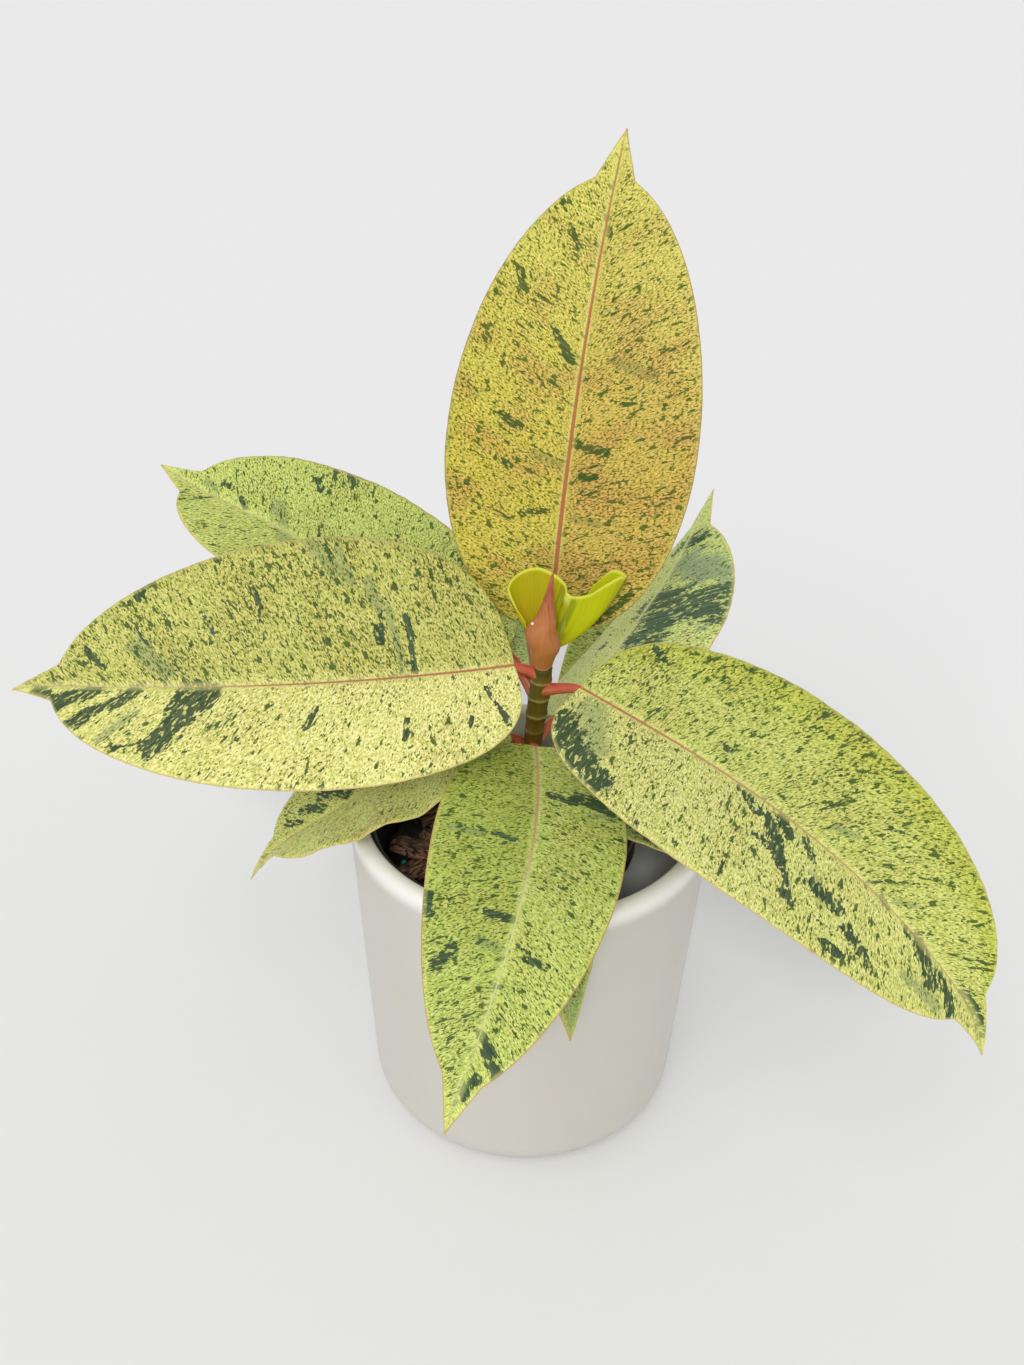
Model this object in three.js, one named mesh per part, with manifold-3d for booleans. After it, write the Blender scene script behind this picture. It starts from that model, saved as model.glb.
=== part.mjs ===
// A young marbled rubber plant in a black nursery pot, standing in a plain white ceramic cover pot.
// Millimetres, +Z up. The origin is the middle of the ceramic pot's underside.
// The front, the side the plant leans its broadest leaves to, faces -Y.
import * as THREE from "three";
import { mergeVertices } from "three/addons/utils/BufferGeometryUtils.js";
import Module from "manifold-3d";

const wasm = await Module();
wasm.setup();

// Driving dimensions: millimetres, and degrees for angles
const GAP = 0.3; // clearance between pieces that touch

const POT = {
  height: 124,
  rimRadius: 62.5,
  footRadius: 55.6,
  footRound: 12,
  wall: 6,
  floor: 6,
  insideRound: 5,
};

const NURSERY = {
  x: -9, // it stands off centre, against the left of the ceramic pot
  top: 116,
  rimRadius: 46,
  bandHeight: 7,
  bandStep: 1.2,
  baseRadius: 33,
  baseBevel: 2,
  wall: 1.2,
};

// The mix's crumbly top: bumps of this height, over rings and segments of the surface
const MIX = { top: 99, shoulder: 3, bump: 0.6, rings: 6, segments: 30 };

const BARK = {
  count: 42,
  length: 17,
  width: 10,
  thickness: 3,
  tilt: 9,
  bed: 99.9, // level of the undersides
  spread: 31, // radius of the area that they cover
  turnEach: Math.PI * (3 - Math.sqrt(5)), // the golden angle, from each chip to the next
  seed: 7,
};

// The stem's centre line is straight, from its foot in the mix to the top node
const STEM = {
  foot: new THREE.Vector3(-5.5, 4, 80),
  top: new THREE.Vector3(2.5, 0, 179),
  radius: 3.1,
  scars: [114, 122, 131, 138, 147, 154, 161, 168, 174.5], // heights of the leaf scars
  scar: 0.3, // how far a leaf scar stands out
  scarWidth: 1.6,
};

// The pointed sheath round the next leaf: its outline is a list of radius and height
const BUD = {
  outline: [[2.9, 0], [3.9, 4.5], [5, 10.5], [4.4, 15.5], [2, 23], [1, 29], [0.3, 34]],
  lean: 2.1, // the tip's offset to the right of its foot
};

const BLADE = {
  thickness: 0.8,
  halfColumns: 2,
  pointRadius: 0.35, // half width left at the very tip
  blend: 2.2, // how the body runs into the drip tip: lower is more gradual
};

const PETIOLE = {
  radius: 1.8,
  blade: 1.5, // radius where the petiole runs into the midrib
  point: 0.5, // radius of the midrib at its far end
  sides: 6,
  steps: 13,
  sink: 0.6, // depth of the midrib's centre under the blade's, as a share of its radius
};

// What most leaves share: the blade's outline, its fold along the midrib and its drip tip.
// basal and apical are the powers that round the two ends: lower is blunter.
const COMMON = {
  basal: 0.47,
  apical: 0.5,
  fold: 10,
  cup: -5,
  dripLength: 14,
  dripHalfWidth: 6,
  leftShare: 1,
  rows: 16,
  wave: 0, // height of the waves along the edges
  waves: 5,
};

// One entry for each leaf, from the top of the stem down. node is the height on the stem.
// petioleRise and petiole are the stalk's angle above the horizontal and its length.
// azimuth is the way the leaf points, from +X towards +Y, and turn is how far that swings
// by the tip. rise and endRise are the blade's angle above the horizontal at its two ends,
// and droop is the power of the change between them. roll and twist turn the blade about
// its midrib, with a positive angle lifting its left side.
const LEAVES = {
  leaf_top: {
    node: 170, petioleRise: 47, petiole: 20.5, azimuth: 79, turn: -9,
    rise: 73, endRise: 56, droop: 1.1, roll: -1, twist: -4,
    length: 162, halfWidth: 41.7, basal: 0.43, apical: 0.55, fold: 7, cup: -9,
    dripLength: 16.5, dripHalfWidth: 6.8, color: 0xd3bd62,
  },
  leaf_left: {
    node: 175.5, petioleRise: 28.6, petiole: 10.9, azimuth: 197, turn: -22,
    rise: 0, endRise: -2, droop: 1.3, roll: -26, twist: -5,
    length: 161, halfWidth: 46, leftShare: 0.91, basal: 0.33, apical: 0.52, fold: 12,
    cup: -3, dripHalfWidth: 6.4, color: 0xd6dc8a,
  },
  leaf_right: {
    node: 169.8, petioleRise: 25, petiole: 18.4, azimuth: -38, turn: -6,
    rise: -5, endRise: -46, droop: 2.2, roll: 16, twist: -5,
    length: 169, halfWidth: 38, leftShare: 1.02, basal: 0.31, apical: 0.44, fold: 11,
    dripHalfWidth: 6.8, color: 0xcbd37a,
  },
  leaf_back_left: {
    node: 165.6, petioleRise: 46, petiole: 20, azimuth: 145, turn: 10,
    rise: 8, endRise: 12, droop: 1.2, roll: 1, twist: -15,
    length: 151, halfWidth: 34.5, leftShare: 0.95, basal: 0.54, apical: 0.48,
    fold: 12, cup: -3, dripHalfWidth: 6.5, color: 0xa6bf6c,
  },
  leaf_rear_left: {
    node: 156, petioleRise: 35, petiole: 20, azimuth: 97, turn: 0,
    rise: 8, endRise: -14, droop: 1.2, roll: 8, twist: 0,
    length: 115, halfWidth: 16, basal: 0.55, apical: 0.46, color: 0xa3bb7d,
  },
  leaf_back_right: {
    node: 146.3, petioleRise: 30, petiole: 13.5, azimuth: 51, turn: 14,
    rise: 14, endRise: 32, droop: 1.3, roll: -26, twist: -16,
    length: 116, halfWidth: 36, leftShare: 0.97, apical: 0.6, fold: -5, cup: -18,
    dripLength: 16.5, color: 0x8fa877,
  },
  leaf_front: {
    node: 145.4, petioleRise: 36, petiole: 14, azimuth: -84, turn: -34,
    rise: 1, endRise: -48, droop: 1.4, roll: -10, twist: 8,
    length: 141, halfWidth: 29.5, leftShare: 0.96, basal: 0.38, apical: 0.59,
    cup: -6, dripLength: 15, color: 0xb4c96a,
  },
  leaf_low_left: {
    node: 142.2, petioleRise: 52, petiole: 12, azimuth: 194, turn: -2,
    rise: -16, endRise: -40, droop: 1.3, roll: 0, twist: 6,
    length: 103, halfWidth: 31.5, apical: 0.52, fold: 12, cup: -3, wave: 1.8,
    rows: 26, color: 0xa9b263,
  },
  leaf_rear_right: {
    node: 126, petioleRise: 8, petiole: 31, azimuth: 66, turn: 22,
    rise: 5, endRise: 17, droop: 0.7, roll: -9, twist: 0,
    length: 138, halfWidth: 15.5, basal: 0.52, color: 0x9fb88a,
  },
  leaf_low_right: {
    node: 131, petioleRise: 20, petiole: 13, azimuth: -30, turn: -12,
    rise: 12, endRise: -22, droop: 1.6, roll: 0, twist: -4,
    length: 92, halfWidth: 24, apical: 0.56, color: 0x86a168,
  },
  leaf_low_front: {
    node: 119, petioleRise: 37, petiole: 14, azimuth: -84, turn: 9,
    rise: 20, endRise: -76, droop: 1.9, roll: -20, twist: -5,
    length: 104, halfWidth: 16, basal: 0.45, apical: 0.58, color: 0x93b05c,
  },
};

// The young leaf behind the bud. Its edge runs from its left foot, over the broad left
// lobe, down to the notch, out along the front of the rolled right lobe and back behind it.
const YOUNG = {
  thickness: 0.7,
  columns: 26,
  rows: 5,
  bulge: [2, 6], // how far its wall swells from its middle, from the left edge to the right
  middle: new THREE.Vector3(12, 8, 204),
  edge: [
    [-3.5, 3.5, 193.5], [-8, 6, 200], [-9.5, 8.5, 204], [-6.5, 11.5, 207],
    [-0.5, 12.5, 209], [5, 11.5, 207.5], [9, 10, 204.5], [10, 8.5, 201.5],
    [16, 7, 202.5], [21.5, 6, 207], [26, 6.8, 209.6], [28.2, 9, 209],
    [24.5, 11.6, 209.5], [18, 13, 202.5],
  ],
  foot: [
    [-2.5, 2.4, 190], [0.6, 5, 186], [4, 5.6, 184], [7, 5, 183.6], [9.2, 7, 184.4],
    [8.4, 10, 185.6],
  ],
};

const COLORS = {
  ceramic: 0xf1f0ec,
  plastic: 0x1b1b1c,
  mix: 0x2b211a,
  bark: 0x6d4630,
  stem: 0x6b6420,
  bud: 0xc77a50,
  young: 0xb7b71a,
};

const deg = THREE.MathUtils.degToRad;

// A closed mesh with its shared corners merged, ready to become a solid
function welded(geometry) {
  geometry.deleteAttribute("normal");
  geometry.deleteAttribute("uv");
  return mergeVertices(geometry, 1e-4);
}

function toSolid(geometry) {
  const mesh = welded(geometry);
  return new wasm.Manifold(
    new wasm.Mesh({
      numProp: 3,
      vertProperties: new Float32Array(mesh.attributes.position.array),
      triVerts: new Uint32Array(mesh.index.array),
    }),
  );
}

function fromSolid(solid) {
  const mesh = solid.getMesh();
  return new THREE.BufferGeometry()
    .setAttribute("position", new THREE.BufferAttribute(new Float32Array(mesh.vertProperties), 3))
    .setIndex(new THREE.BufferAttribute(new Uint32Array(mesh.triVerts), 1));
}

// A body turned about the Z axis from an outline of radius and height
function turned(path, divisions, segments) {
  const geometry = new THREE.LatheGeometry(path.getPoints(divisions), segments);
  return geometry.rotateX(Math.PI / 2);
}

// A unit vector from its azimuth and its angle above the horizontal, in radians
function heading(azimuth, rise) {
  return new THREE.Vector3(
    Math.cos(rise) * Math.cos(azimuth),
    Math.cos(rise) * Math.sin(azimuth),
    Math.sin(rise),
  );
}

function stemAt(z) {
  const share = (z - STEM.foot.z) / (STEM.top.z - STEM.foot.z);
  return STEM.foot.clone().lerp(STEM.top, share);
}

// A round rod of changing radius along a smooth curve through points
function rod(points, radiusAt, sides, steps) {
  const curve = new THREE.CatmullRomCurve3(points, false, "centripetal");
  const { normals, binormals } = curve.computeFrenetFrames(steps, false);
  const geometry = new THREE.CylinderGeometry(1, 1, 1, sides, steps);
  const place = geometry.attributes.position;
  for (let i = 0; i < place.count; i++) {
    const along = place.getY(i) + 0.5;
    const step = Math.round(along * steps);
    const at = curve.getPointAt(along);
    const radius = radiusAt(along);
    at.addScaledVector(normals[step], place.getX(i) * radius);
    at.addScaledVector(binormals[step], -place.getZ(i) * radius);
    place.setXYZ(i, at.x, at.y, at.z);
  }
  return geometry;
}

// A thin closed sheet: a grid of places with their normals, given its thickness, with both
// faces split along the same diagonals
function sheet(grid, thickness) {
  const rows = grid.length;
  const columns = grid[0].length;
  const layer = rows * columns;
  const corners = [];
  for (const side of [0.5, -0.5])
    for (const row of grid)
      for (const { place, normal } of row)
        corners.push(...place.clone().addScaledVector(normal, side * thickness).toArray());
  const faces = [];
  const quad = (a, b, c, d) => faces.push(a, b, c, a, c, d);
  const at = (row, column) => row * columns + column;
  for (let i = 0; i + 1 < rows; i++)
    for (let j = 0; j + 1 < columns; j++) {
      const [a, b, c, d] = [at(i, j), at(i, j + 1), at(i + 1, j + 1), at(i + 1, j)];
      faces.push(a, b, c, a, c, d);
      faces.push(layer + a, layer + c, layer + b, layer + a, layer + d, layer + c);
    }
  for (let i = 0; i + 1 < rows; i++) {
    const last = columns - 1;
    quad(at(i, 0), at(i + 1, 0), layer + at(i + 1, 0), layer + at(i, 0));
    quad(at(i + 1, last), at(i, last), layer + at(i, last), layer + at(i + 1, last));
  }
  for (let j = 0; j + 1 < columns; j++) {
    const last = rows - 1;
    quad(at(0, j + 1), at(0, j), layer + at(0, j), layer + at(0, j + 1));
    quad(at(last, j), at(last, j + 1), layer + at(last, j + 1), layer + at(last, j));
  }
  return new THREE.BufferGeometry()
    .setAttribute("position", new THREE.Float32BufferAttribute(corners, 3))
    .setIndex(faces);
}

// Half width of a blade at a share of its length: a rounded body and a drawn-out drip tip
function halfWidthAt(leaf, share) {
  const drip = leaf.dripLength / leaf.length;
  const body = Math.min(share / (1 - drip), 1);
  const widest = leaf.basal / (leaf.basal + leaf.apical);
  const round =
    Math.pow(body / widest, leaf.basal) * Math.pow((1 - body) / (1 - widest), leaf.apical);
  const point =
    (leaf.dripHalfWidth / leaf.halfWidth) *
    Math.min((1 - share) / drip, 1) *
    Math.min(3 * share, 1);
  const both = Math.pow(Math.pow(round, BLADE.blend) + Math.pow(point, BLADE.blend), 1 / BLADE.blend);
  return Math.max(leaf.halfWidth * both, BLADE.pointRadius);
}

// The midrib's place, heading, left side and upper side at each row of the blade
function midrib(leaf) {
  const rows = [];
  const azimuth = deg(leaf.azimuth);
  const stalk = heading(azimuth, deg(leaf.petioleRise));
  const place = stemAt(leaf.node).addScaledVector(stalk, leaf.petiole);
  let last = 0;
  const headingAt = (share) =>
    heading(
      deg(leaf.azimuth + leaf.turn * share),
      deg(leaf.rise + (leaf.endRise - leaf.rise) * Math.pow(share, leaf.droop)),
    );
  for (let i = 0; i <= leaf.rows; i++) {
    const share = (1 - Math.cos((Math.PI * i) / leaf.rows)) / 2;
    place.addScaledVector(headingAt((share + last) / 2), leaf.length * (share - last));
    last = share;
    const forward = headingAt(share);
    const swing = deg(leaf.azimuth + leaf.turn * share);
    const left = new THREE.Vector3(-Math.sin(swing), Math.cos(swing), 0);
    left.applyAxisAngle(forward, deg(leaf.roll + leaf.twist * share));
    const up = new THREE.Vector3().crossVectors(forward, left);
    rows.push({ share, place: place.clone(), forward, left, up });
  }
  return rows;
}

// The blade bends up from its midrib by the fold, and by the cup more towards its edges
function bladeGrid(leaf, rows) {
  return rows.map(({ share, place, left, up }) => {
    const row = [];
    for (let j = -BLADE.halfColumns; j <= BLADE.halfColumns; j++) {
      const across = Math.abs(j) / BLADE.halfColumns;
      const side = j < 0 ? 1 : -1;
      const part = side > 0 ? leaf.leftShare : 2 - leaf.leftShare;
      const reach = halfWidthAt(leaf, share) * part * across;
      const mean = deg(leaf.fold + (leaf.cup * across) / 2);
      const slope = j === 0 ? 0 : deg(leaf.fold + leaf.cup * across);
      const swing = Math.sin(2 * Math.PI * leaf.waves * share) * (1 - share);
      const ripple = leaf.wave * across * across * swing;
      const spot = place
        .clone()
        .addScaledVector(left, side * reach * Math.cos(mean))
        .addScaledVector(up, reach * Math.sin(mean) + ripple);
      const normal = up
        .clone()
        .multiplyScalar(Math.cos(slope))
        .addScaledVector(left, -side * Math.sin(slope));
      row.push({ place: spot, normal });
    }
    return row;
  });
}

// A leaf is its blade with the petiole and midrib as one tapering rod along its underside
function leafSolid(leaf) {
  const rows = midrib(leaf);
  const blade = toSolid(sheet(bladeGrid(leaf, rows), BLADE.thickness));
  const rise = deg(leaf.petioleRise);
  const stalk = heading(deg(leaf.azimuth), rise);
  const along = STEM.top.clone().sub(STEM.foot);
  const away = stalk.clone().addScaledVector(along, -stalk.z / along.z).length();
  const ring = STEM.radius + STEM.scar;
  const clear = (ring + PETIOLE.radius * Math.sin(rise)) / away;
  const start = stemAt(leaf.node).addScaledVector(stalk, clear);
  const free = leaf.petiole - clear;
  const [base] = rows;
  const ribRadius = (share) => THREE.MathUtils.lerp(PETIOLE.blade, PETIOLE.point, share);
  const ribs = rows
    .filter(({ share }, i) => i % 3 === 0 && share > 0 && share < 0.95)
    .map(({ share, place, up }) =>
      place.clone().addScaledVector(up, -PETIOLE.sink * ribRadius(share)),
    );
  const points = [
    start,
    start.clone().addScaledVector(stalk, free * 0.4),
    base.place.clone().addScaledVector(base.forward, -free * 0.25),
    base.place.clone(),
    ...ribs,
  ];
  const atBase = free / (free + leaf.length);
  const radiusAt = (along) =>
    along < atBase
      ? THREE.MathUtils.mapLinear(along, 0, atBase, PETIOLE.radius, PETIOLE.blade)
      : ribRadius((along - atBase) / (1 - atBase));
  return blade.add(toSolid(rod(points, radiusAt, PETIOLE.sides, PETIOLE.steps)));
}

function youngSolid() {
  const vectors = (list) => list.map((xyz) => new THREE.Vector3(...xyz));
  const edge = new THREE.CatmullRomCurve3(vectors(YOUNG.edge), false, "centripetal");
  const foot = new THREE.CatmullRomCurve3(vectors(YOUNG.foot), false, "centripetal");
  const places = [];
  for (let i = 0; i <= YOUNG.rows; i++) {
    const up = i / YOUNG.rows;
    places.push([]);
    for (let j = 0; j <= YOUNG.columns; j++) {
      const round = j / YOUNG.columns;
      const low = foot.getPoint(round);
      const high = edge.getPoint(round);
      const out = high.clone().lerp(low, 0.5).sub(YOUNG.middle).normalize();
      const most = THREE.MathUtils.lerp(...YOUNG.bulge, round);
      const bulge = most * Math.sin(Math.PI * up) * Math.sin(Math.PI * round);
      places[i].push(low.lerp(high, up).addScaledVector(out, bulge));
    }
  }
  const grid = places.map((row, i) =>
    row.map((place, j) => {
      const next = places[i][Math.min(j + 1, YOUNG.columns)];
      const before = places[i][Math.max(j - 1, 0)];
      const above = places[Math.min(i + 1, YOUNG.rows)][j];
      const below = places[Math.max(i - 1, 0)][j];
      const normal = next.clone().sub(before).cross(above.clone().sub(below)).normalize();
      return { place, normal };
    }),
  );
  return toSolid(sheet(grid, YOUNG.thickness));
}

function potGeometry() {
  const outer = POT.rimRadius;
  const lip = POT.wall / 2;
  const foot = POT.footRadius;
  const inside = foot - POT.wall;
  const path = new THREE.Path();
  path.moveTo(0, 0);
  path.lineTo(foot - POT.footRound, 0);
  path.quadraticCurveTo(foot, 0, foot, POT.footRound);
  path.lineTo(outer, POT.height - lip);
  path.absarc(outer - lip, POT.height - lip, lip, 0, Math.PI, false);
  path.lineTo(inside, POT.floor + POT.insideRound);
  path.quadraticCurveTo(inside, POT.floor, inside - POT.insideRound, POT.floor);
  path.lineTo(0, POT.floor);
  return turned(path, 4, 44);
}

// Radius of the nursery pot's outside at a height
function nurseryRadius(z) {
  const foot = POT.floor + GAP;
  const top = NURSERY.rimRadius - NURSERY.bandStep;
  return THREE.MathUtils.lerp(NURSERY.baseRadius, top, (z - foot) / (NURSERY.top - foot));
}

function nurseryGeometry() {
  const foot = POT.floor + GAP;
  const { top, rimRadius, bandHeight, wall } = NURSERY;
  const band = top - bandHeight;
  const path = new THREE.Path();
  path.moveTo(0, foot);
  path.lineTo(nurseryRadius(foot) - NURSERY.baseBevel, foot);
  path.lineTo(nurseryRadius(foot), foot + NURSERY.baseBevel);
  path.lineTo(nurseryRadius(band), band);
  path.lineTo(rimRadius, band);
  path.lineTo(rimRadius, top);
  path.lineTo(rimRadius - wall, top);
  path.lineTo(nurseryRadius(band) - wall, band - wall);
  path.lineTo(nurseryRadius(foot) - wall, foot + wall);
  path.lineTo(0, foot + wall);
  return turned(path, 1, 40).translate(NURSERY.x, 0, 0);
}

// A round body on the stem's centre line, from a list of radius and distance from the foot
function aboutStem(outline, sides) {
  const along = STEM.top.clone().sub(STEM.foot).normalize();
  const turn = new THREE.Quaternion().setFromUnitVectors(new THREE.Vector3(0, 1, 0), along);
  const points = outline.map((point) => new THREE.Vector2(...point));
  return new THREE.LatheGeometry(points, sides)
    .applyQuaternion(turn)
    .translate(...STEM.foot.toArray());
}

function stemGeometry() {
  const length = STEM.top.distanceTo(STEM.foot);
  const stretch = length / (STEM.top.z - STEM.foot.z);
  const rings = STEM.scars.flatMap((z) => {
    const middle = (z - STEM.foot.z) * stretch;
    return [
      [STEM.radius, middle - STEM.scarWidth / 2],
      [STEM.radius + STEM.scar, middle],
      [STEM.radius, middle + STEM.scarWidth / 2],
    ];
  });
  return aboutStem([[0, 0], [STEM.radius, 0], ...rings, [STEM.radius, length], [0, length]], 10);
}

// The plain hole that the stem stands in
function stemHole(gap) {
  const length = STEM.top.distanceTo(STEM.foot);
  const radius = STEM.radius + gap;
  return toSolid(aboutStem([[0, -gap], [radius, -gap], [radius, length], [0, length]], 10));
}

// A small generator of repeatable random numbers from 0 to 1
function seeded(seed) {
  let state = seed;
  return () => {
    state = (state * 16807) % 2147483647;
    return state / 2147483647;
  };
}

function mixSolid() {
  const foot = POT.floor + GAP + NURSERY.wall + GAP;
  const radiusAt = (z) => nurseryRadius(z) - NURSERY.wall - GAP;
  const shoulder = MIX.top - MIX.shoulder;
  const path = new THREE.Path();
  path.moveTo(0, foot);
  path.lineTo(radiusAt(foot) - NURSERY.baseBevel, foot);
  path.lineTo(radiusAt(foot), foot + NURSERY.baseBevel);
  path.lineTo(radiusAt(shoulder), shoulder);
  for (let i = MIX.rings; i >= 0; i--) path.lineTo((radiusAt(shoulder) * i) / MIX.rings, MIX.top);
  const geometry = welded(turned(path, 1, MIX.segments));
  const place = geometry.attributes.position;
  for (let i = 0; i < place.count; i++) {
    if (place.getZ(i) < MIX.top - MIX.shoulder / 2) continue;
    const bump = Math.sin(place.getX(i) * 0.9) * Math.cos(place.getY(i) * 0.7);
    place.setZ(i, MIX.top + MIX.bump * bump);
  }
  geometry.translate(NURSERY.x, 0, 0);
  return toSolid(geometry).subtract(stemHole(GAP));
}

// Bark chips scattered over the mix by a seeded rule, each overlapping its neighbours
function barkSolid() {
  const random = seeded(BARK.seed);
  let all = null;
  for (let i = 0; i < BARK.count; i++) {
    const radius = BARK.spread * Math.sqrt((i + 0.5) / BARK.count);
    const angle = i * BARK.turnEach + 0.3 * random();
    const size = 0.75 + 0.5 * random();
    const chip = new THREE.BoxGeometry(BARK.length * size, BARK.width * size, BARK.thickness);
    chip.rotateX(deg(BARK.tilt) * (2 * random() - 1));
    chip.rotateY(deg(BARK.tilt) * (2 * random() - 1));
    chip.rotateZ(2 * Math.PI * random());
    chip.translate(
      NURSERY.x + radius * Math.cos(angle),
      radius * Math.sin(angle),
      BARK.bed + BARK.thickness * (0.3 + 0.3 * random()),
    );
    all = all ? all.add(toSolid(chip)) : toSolid(chip);
  }
  const laid = all.trimByPlane([0, 0, 1], BARK.bed).subtract(stemHole(2 * GAP));
  const [largest] = laid.decompose().sort((a, b) => b.volume() - a.volume());
  return largest;
}

function budGeometry() {
  const outline = new THREE.SplineCurve(BUD.outline.map((point) => new THREE.Vector2(...point)));
  const points = outline.getPoints(14);
  const [foot, tip] = [points[0], points.at(-1)];
  points.unshift(new THREE.Vector2(0, foot.y));
  points.push(new THREE.Vector2(0, tip.y));
  const geometry = new THREE.LatheGeometry(points, 12).rotateX(Math.PI / 2);
  const place = geometry.attributes.position;
  for (let i = 0; i < place.count; i++)
    place.setX(i, place.getX(i) + BUD.lean * Math.pow(place.getZ(i) / tip.y, 2));
  return geometry.translate(STEM.top.x, STEM.top.y, STEM.top.z + 2 * GAP);
}

const group = new THREE.Group();

function add(name, geometry, color, roughness, metalness = 0) {
  const material = new THREE.MeshStandardMaterial({ color, roughness, metalness });
  const mesh = new THREE.Mesh(geometry, material);
  mesh.name = name;
  group.add(mesh);
}

add("pot", potGeometry(), COLORS.ceramic, 0.35);
add("nursery_pot", nurseryGeometry(), COLORS.plastic, 0.45);
add("potting_mix", fromSolid(mixSolid()), COLORS.mix, 0.95);
add("bark_chips", fromSolid(barkSolid()), COLORS.bark, 0.9);
add("stem", stemGeometry(), COLORS.stem, 0.6);
add("bud_sheath", budGeometry(), COLORS.bud, 0.45);
add("young_leaf", fromSolid(youngSolid()), COLORS.young, 0.4);
for (const [name, own] of Object.entries(LEAVES)) {
  const leaf = { ...COMMON, ...own };
  add(name, fromSolid(leafSolid(leaf)), leaf.color, 0.45);
}

export default group;
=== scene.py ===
# A young marbled rubber plant in a black nursery pot, which stands in a plain white cover pot.
# Metres, +Z up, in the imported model's frame: the origin is the middle of the pot's underside.
import math
import random

import bmesh
import bpy
from mathutils import Matrix, Vector, noise
from mathutils.geometry import interpolate_bezier


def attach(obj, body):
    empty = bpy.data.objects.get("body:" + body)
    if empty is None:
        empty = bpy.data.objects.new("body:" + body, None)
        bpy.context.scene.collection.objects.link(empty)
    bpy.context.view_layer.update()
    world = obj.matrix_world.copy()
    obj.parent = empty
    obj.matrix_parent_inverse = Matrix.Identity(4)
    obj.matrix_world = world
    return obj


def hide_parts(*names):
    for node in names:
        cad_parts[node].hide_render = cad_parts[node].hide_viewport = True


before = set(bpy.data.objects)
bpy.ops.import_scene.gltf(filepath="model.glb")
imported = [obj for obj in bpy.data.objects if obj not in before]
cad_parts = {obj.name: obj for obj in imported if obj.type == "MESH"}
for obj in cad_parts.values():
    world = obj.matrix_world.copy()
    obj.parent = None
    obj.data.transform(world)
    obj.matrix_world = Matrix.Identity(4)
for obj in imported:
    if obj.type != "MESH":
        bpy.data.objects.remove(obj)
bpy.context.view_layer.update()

# The cover pot
# White earthenware, cast in a mould and dipped in a satin glaze. Its colour carries painted
# light and shade: the outer wall is painted grey as painted shade, the rounded lip is painted
# whiter as a painted highlight, and the inside is painted whiter as painted light. It stands
# on a bare ring that the glaze was wiped from.
MM = 0.001
POT_HEIGHT = 124 * MM
POT_RIM = 62.5 * MM
POT_FOOT = 55.6 * MM
POT_FOOT_ROUND = 12 * MM
POT_LIP = 3 * MM
POT_LIP_INSIDE = 0.95 * POT_LIP
POT_WALL = 6 * MM
POT_FLOOR = 6 * MM
POT_CORNER = 5 * MM
POT_FLARE = (POT_RIM - POT_FOOT) / (POT_HEIGHT - POT_LIP - POT_FOOT_ROUND)
POT_STEPS = 160
CASTING_SWELL = 0.12 * MM  # how far the cast wall strays from a true circle
CASTING_WAVES = 18  # how often it strays in a metre
SEAM = 0.001 * MM  # vertices closer than this are merged
LIP_PAINTED_HIGHLIGHT = (115, 121)  # heights in millimetres over which the lip is painted whiter, a painted highlight
BARE_RING = (0.25, 0.7)  # and over which the ring that it stands on ends
INSIDE_PAINTED_LIGHT = (3, 4)  # and over which the inside's painted light starts: the inside is painted whiter


def colour(code):
    """The linear colour of a web colour such as 0xf1f0ec."""
    shares = [(code >> shift & 255) / 255 for shift in (16, 8, 0)]
    linear = [s / 12.92 if s <= 0.04045 else ((s + 0.055) / 1.055) ** 2.4 for s in shares]
    return (*linear, 1)


class Shade:
    """A socket in a material's nodes. Arithmetic on it adds Math nodes."""

    def __init__(self, tree, socket=None):
        self.tree = tree
        self.socket = socket

    def node(self, kind, settings=None, inputs=None, output=0):
        """Adds a node: its settings first, then a number or a link for each socket."""
        made = self.tree.nodes.new("ShaderNode" + kind)
        for name, value in (settings or {}).items():
            setattr(made, name, value)
        for name, value in (inputs or {}).items():
            if isinstance(value, Shade):
                self.tree.links.new(value.socket, made.inputs[name])
            else:
                made.inputs[name].default_value = value
        return Shade(self.tree, made.outputs[output])

    def calculate(self, operation, *values):
        return self.node("Math", {"operation": operation}, dict(enumerate(values)))

    def __add__(self, other):
        return self.calculate("ADD", self, other)

    def __radd__(self, other):
        return self + other

    def __sub__(self, other):
        return self.calculate("SUBTRACT", self, other)

    def __rsub__(self, other):
        return self.calculate("SUBTRACT", other, self)

    def __mul__(self, other):
        return self.calculate("MULTIPLY", self, other)

    def __rmul__(self, other):
        return self * other

    def between(self, low, high):
        """0 where the value is below low, 1 where it is above high, and smooth between them."""
        return self.node("MapRange", {"interpolation_type": "SMOOTHSTEP"}, {0: self, 1: low, 2: high})

    def mix(self, first, second):
        """The first colour where the value is 0, the second where it is 1: links or web colours."""
        first, second = (end if isinstance(end, Shade) else colour(end) for end in (first, second))
        return self.node("Mix", {"data_type": "RGBA"}, {0: self, 6: first, 7: second}, 2)

    def times(self, factors):
        """A place or a colour, each of its three numbers times its own factor."""
        return self.node("VectorMath", {"operation": "MULTIPLY"}, {0: self, 1: factors}, "Vector")

    def grain(self, stretch, detail=2):
        """Noise from 0 to 1 over a place in millimetres. stretch is how often it changes along each axis."""
        return self.node("TexNoise", None, {"Vector": self.times(stretch), "Scale": 1, "Detail": detail})

    def bump(self, height):
        """A surface normal that follows the value as a height in metres."""
        return self.node("Bump", None, {"Distance": height, "Height": self}, "Normal")

    def part(self, axis):
        """One axis, X, Y or Z, of a place."""
        return self.node("SeparateXYZ", None, {0: self}, axis)


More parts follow.
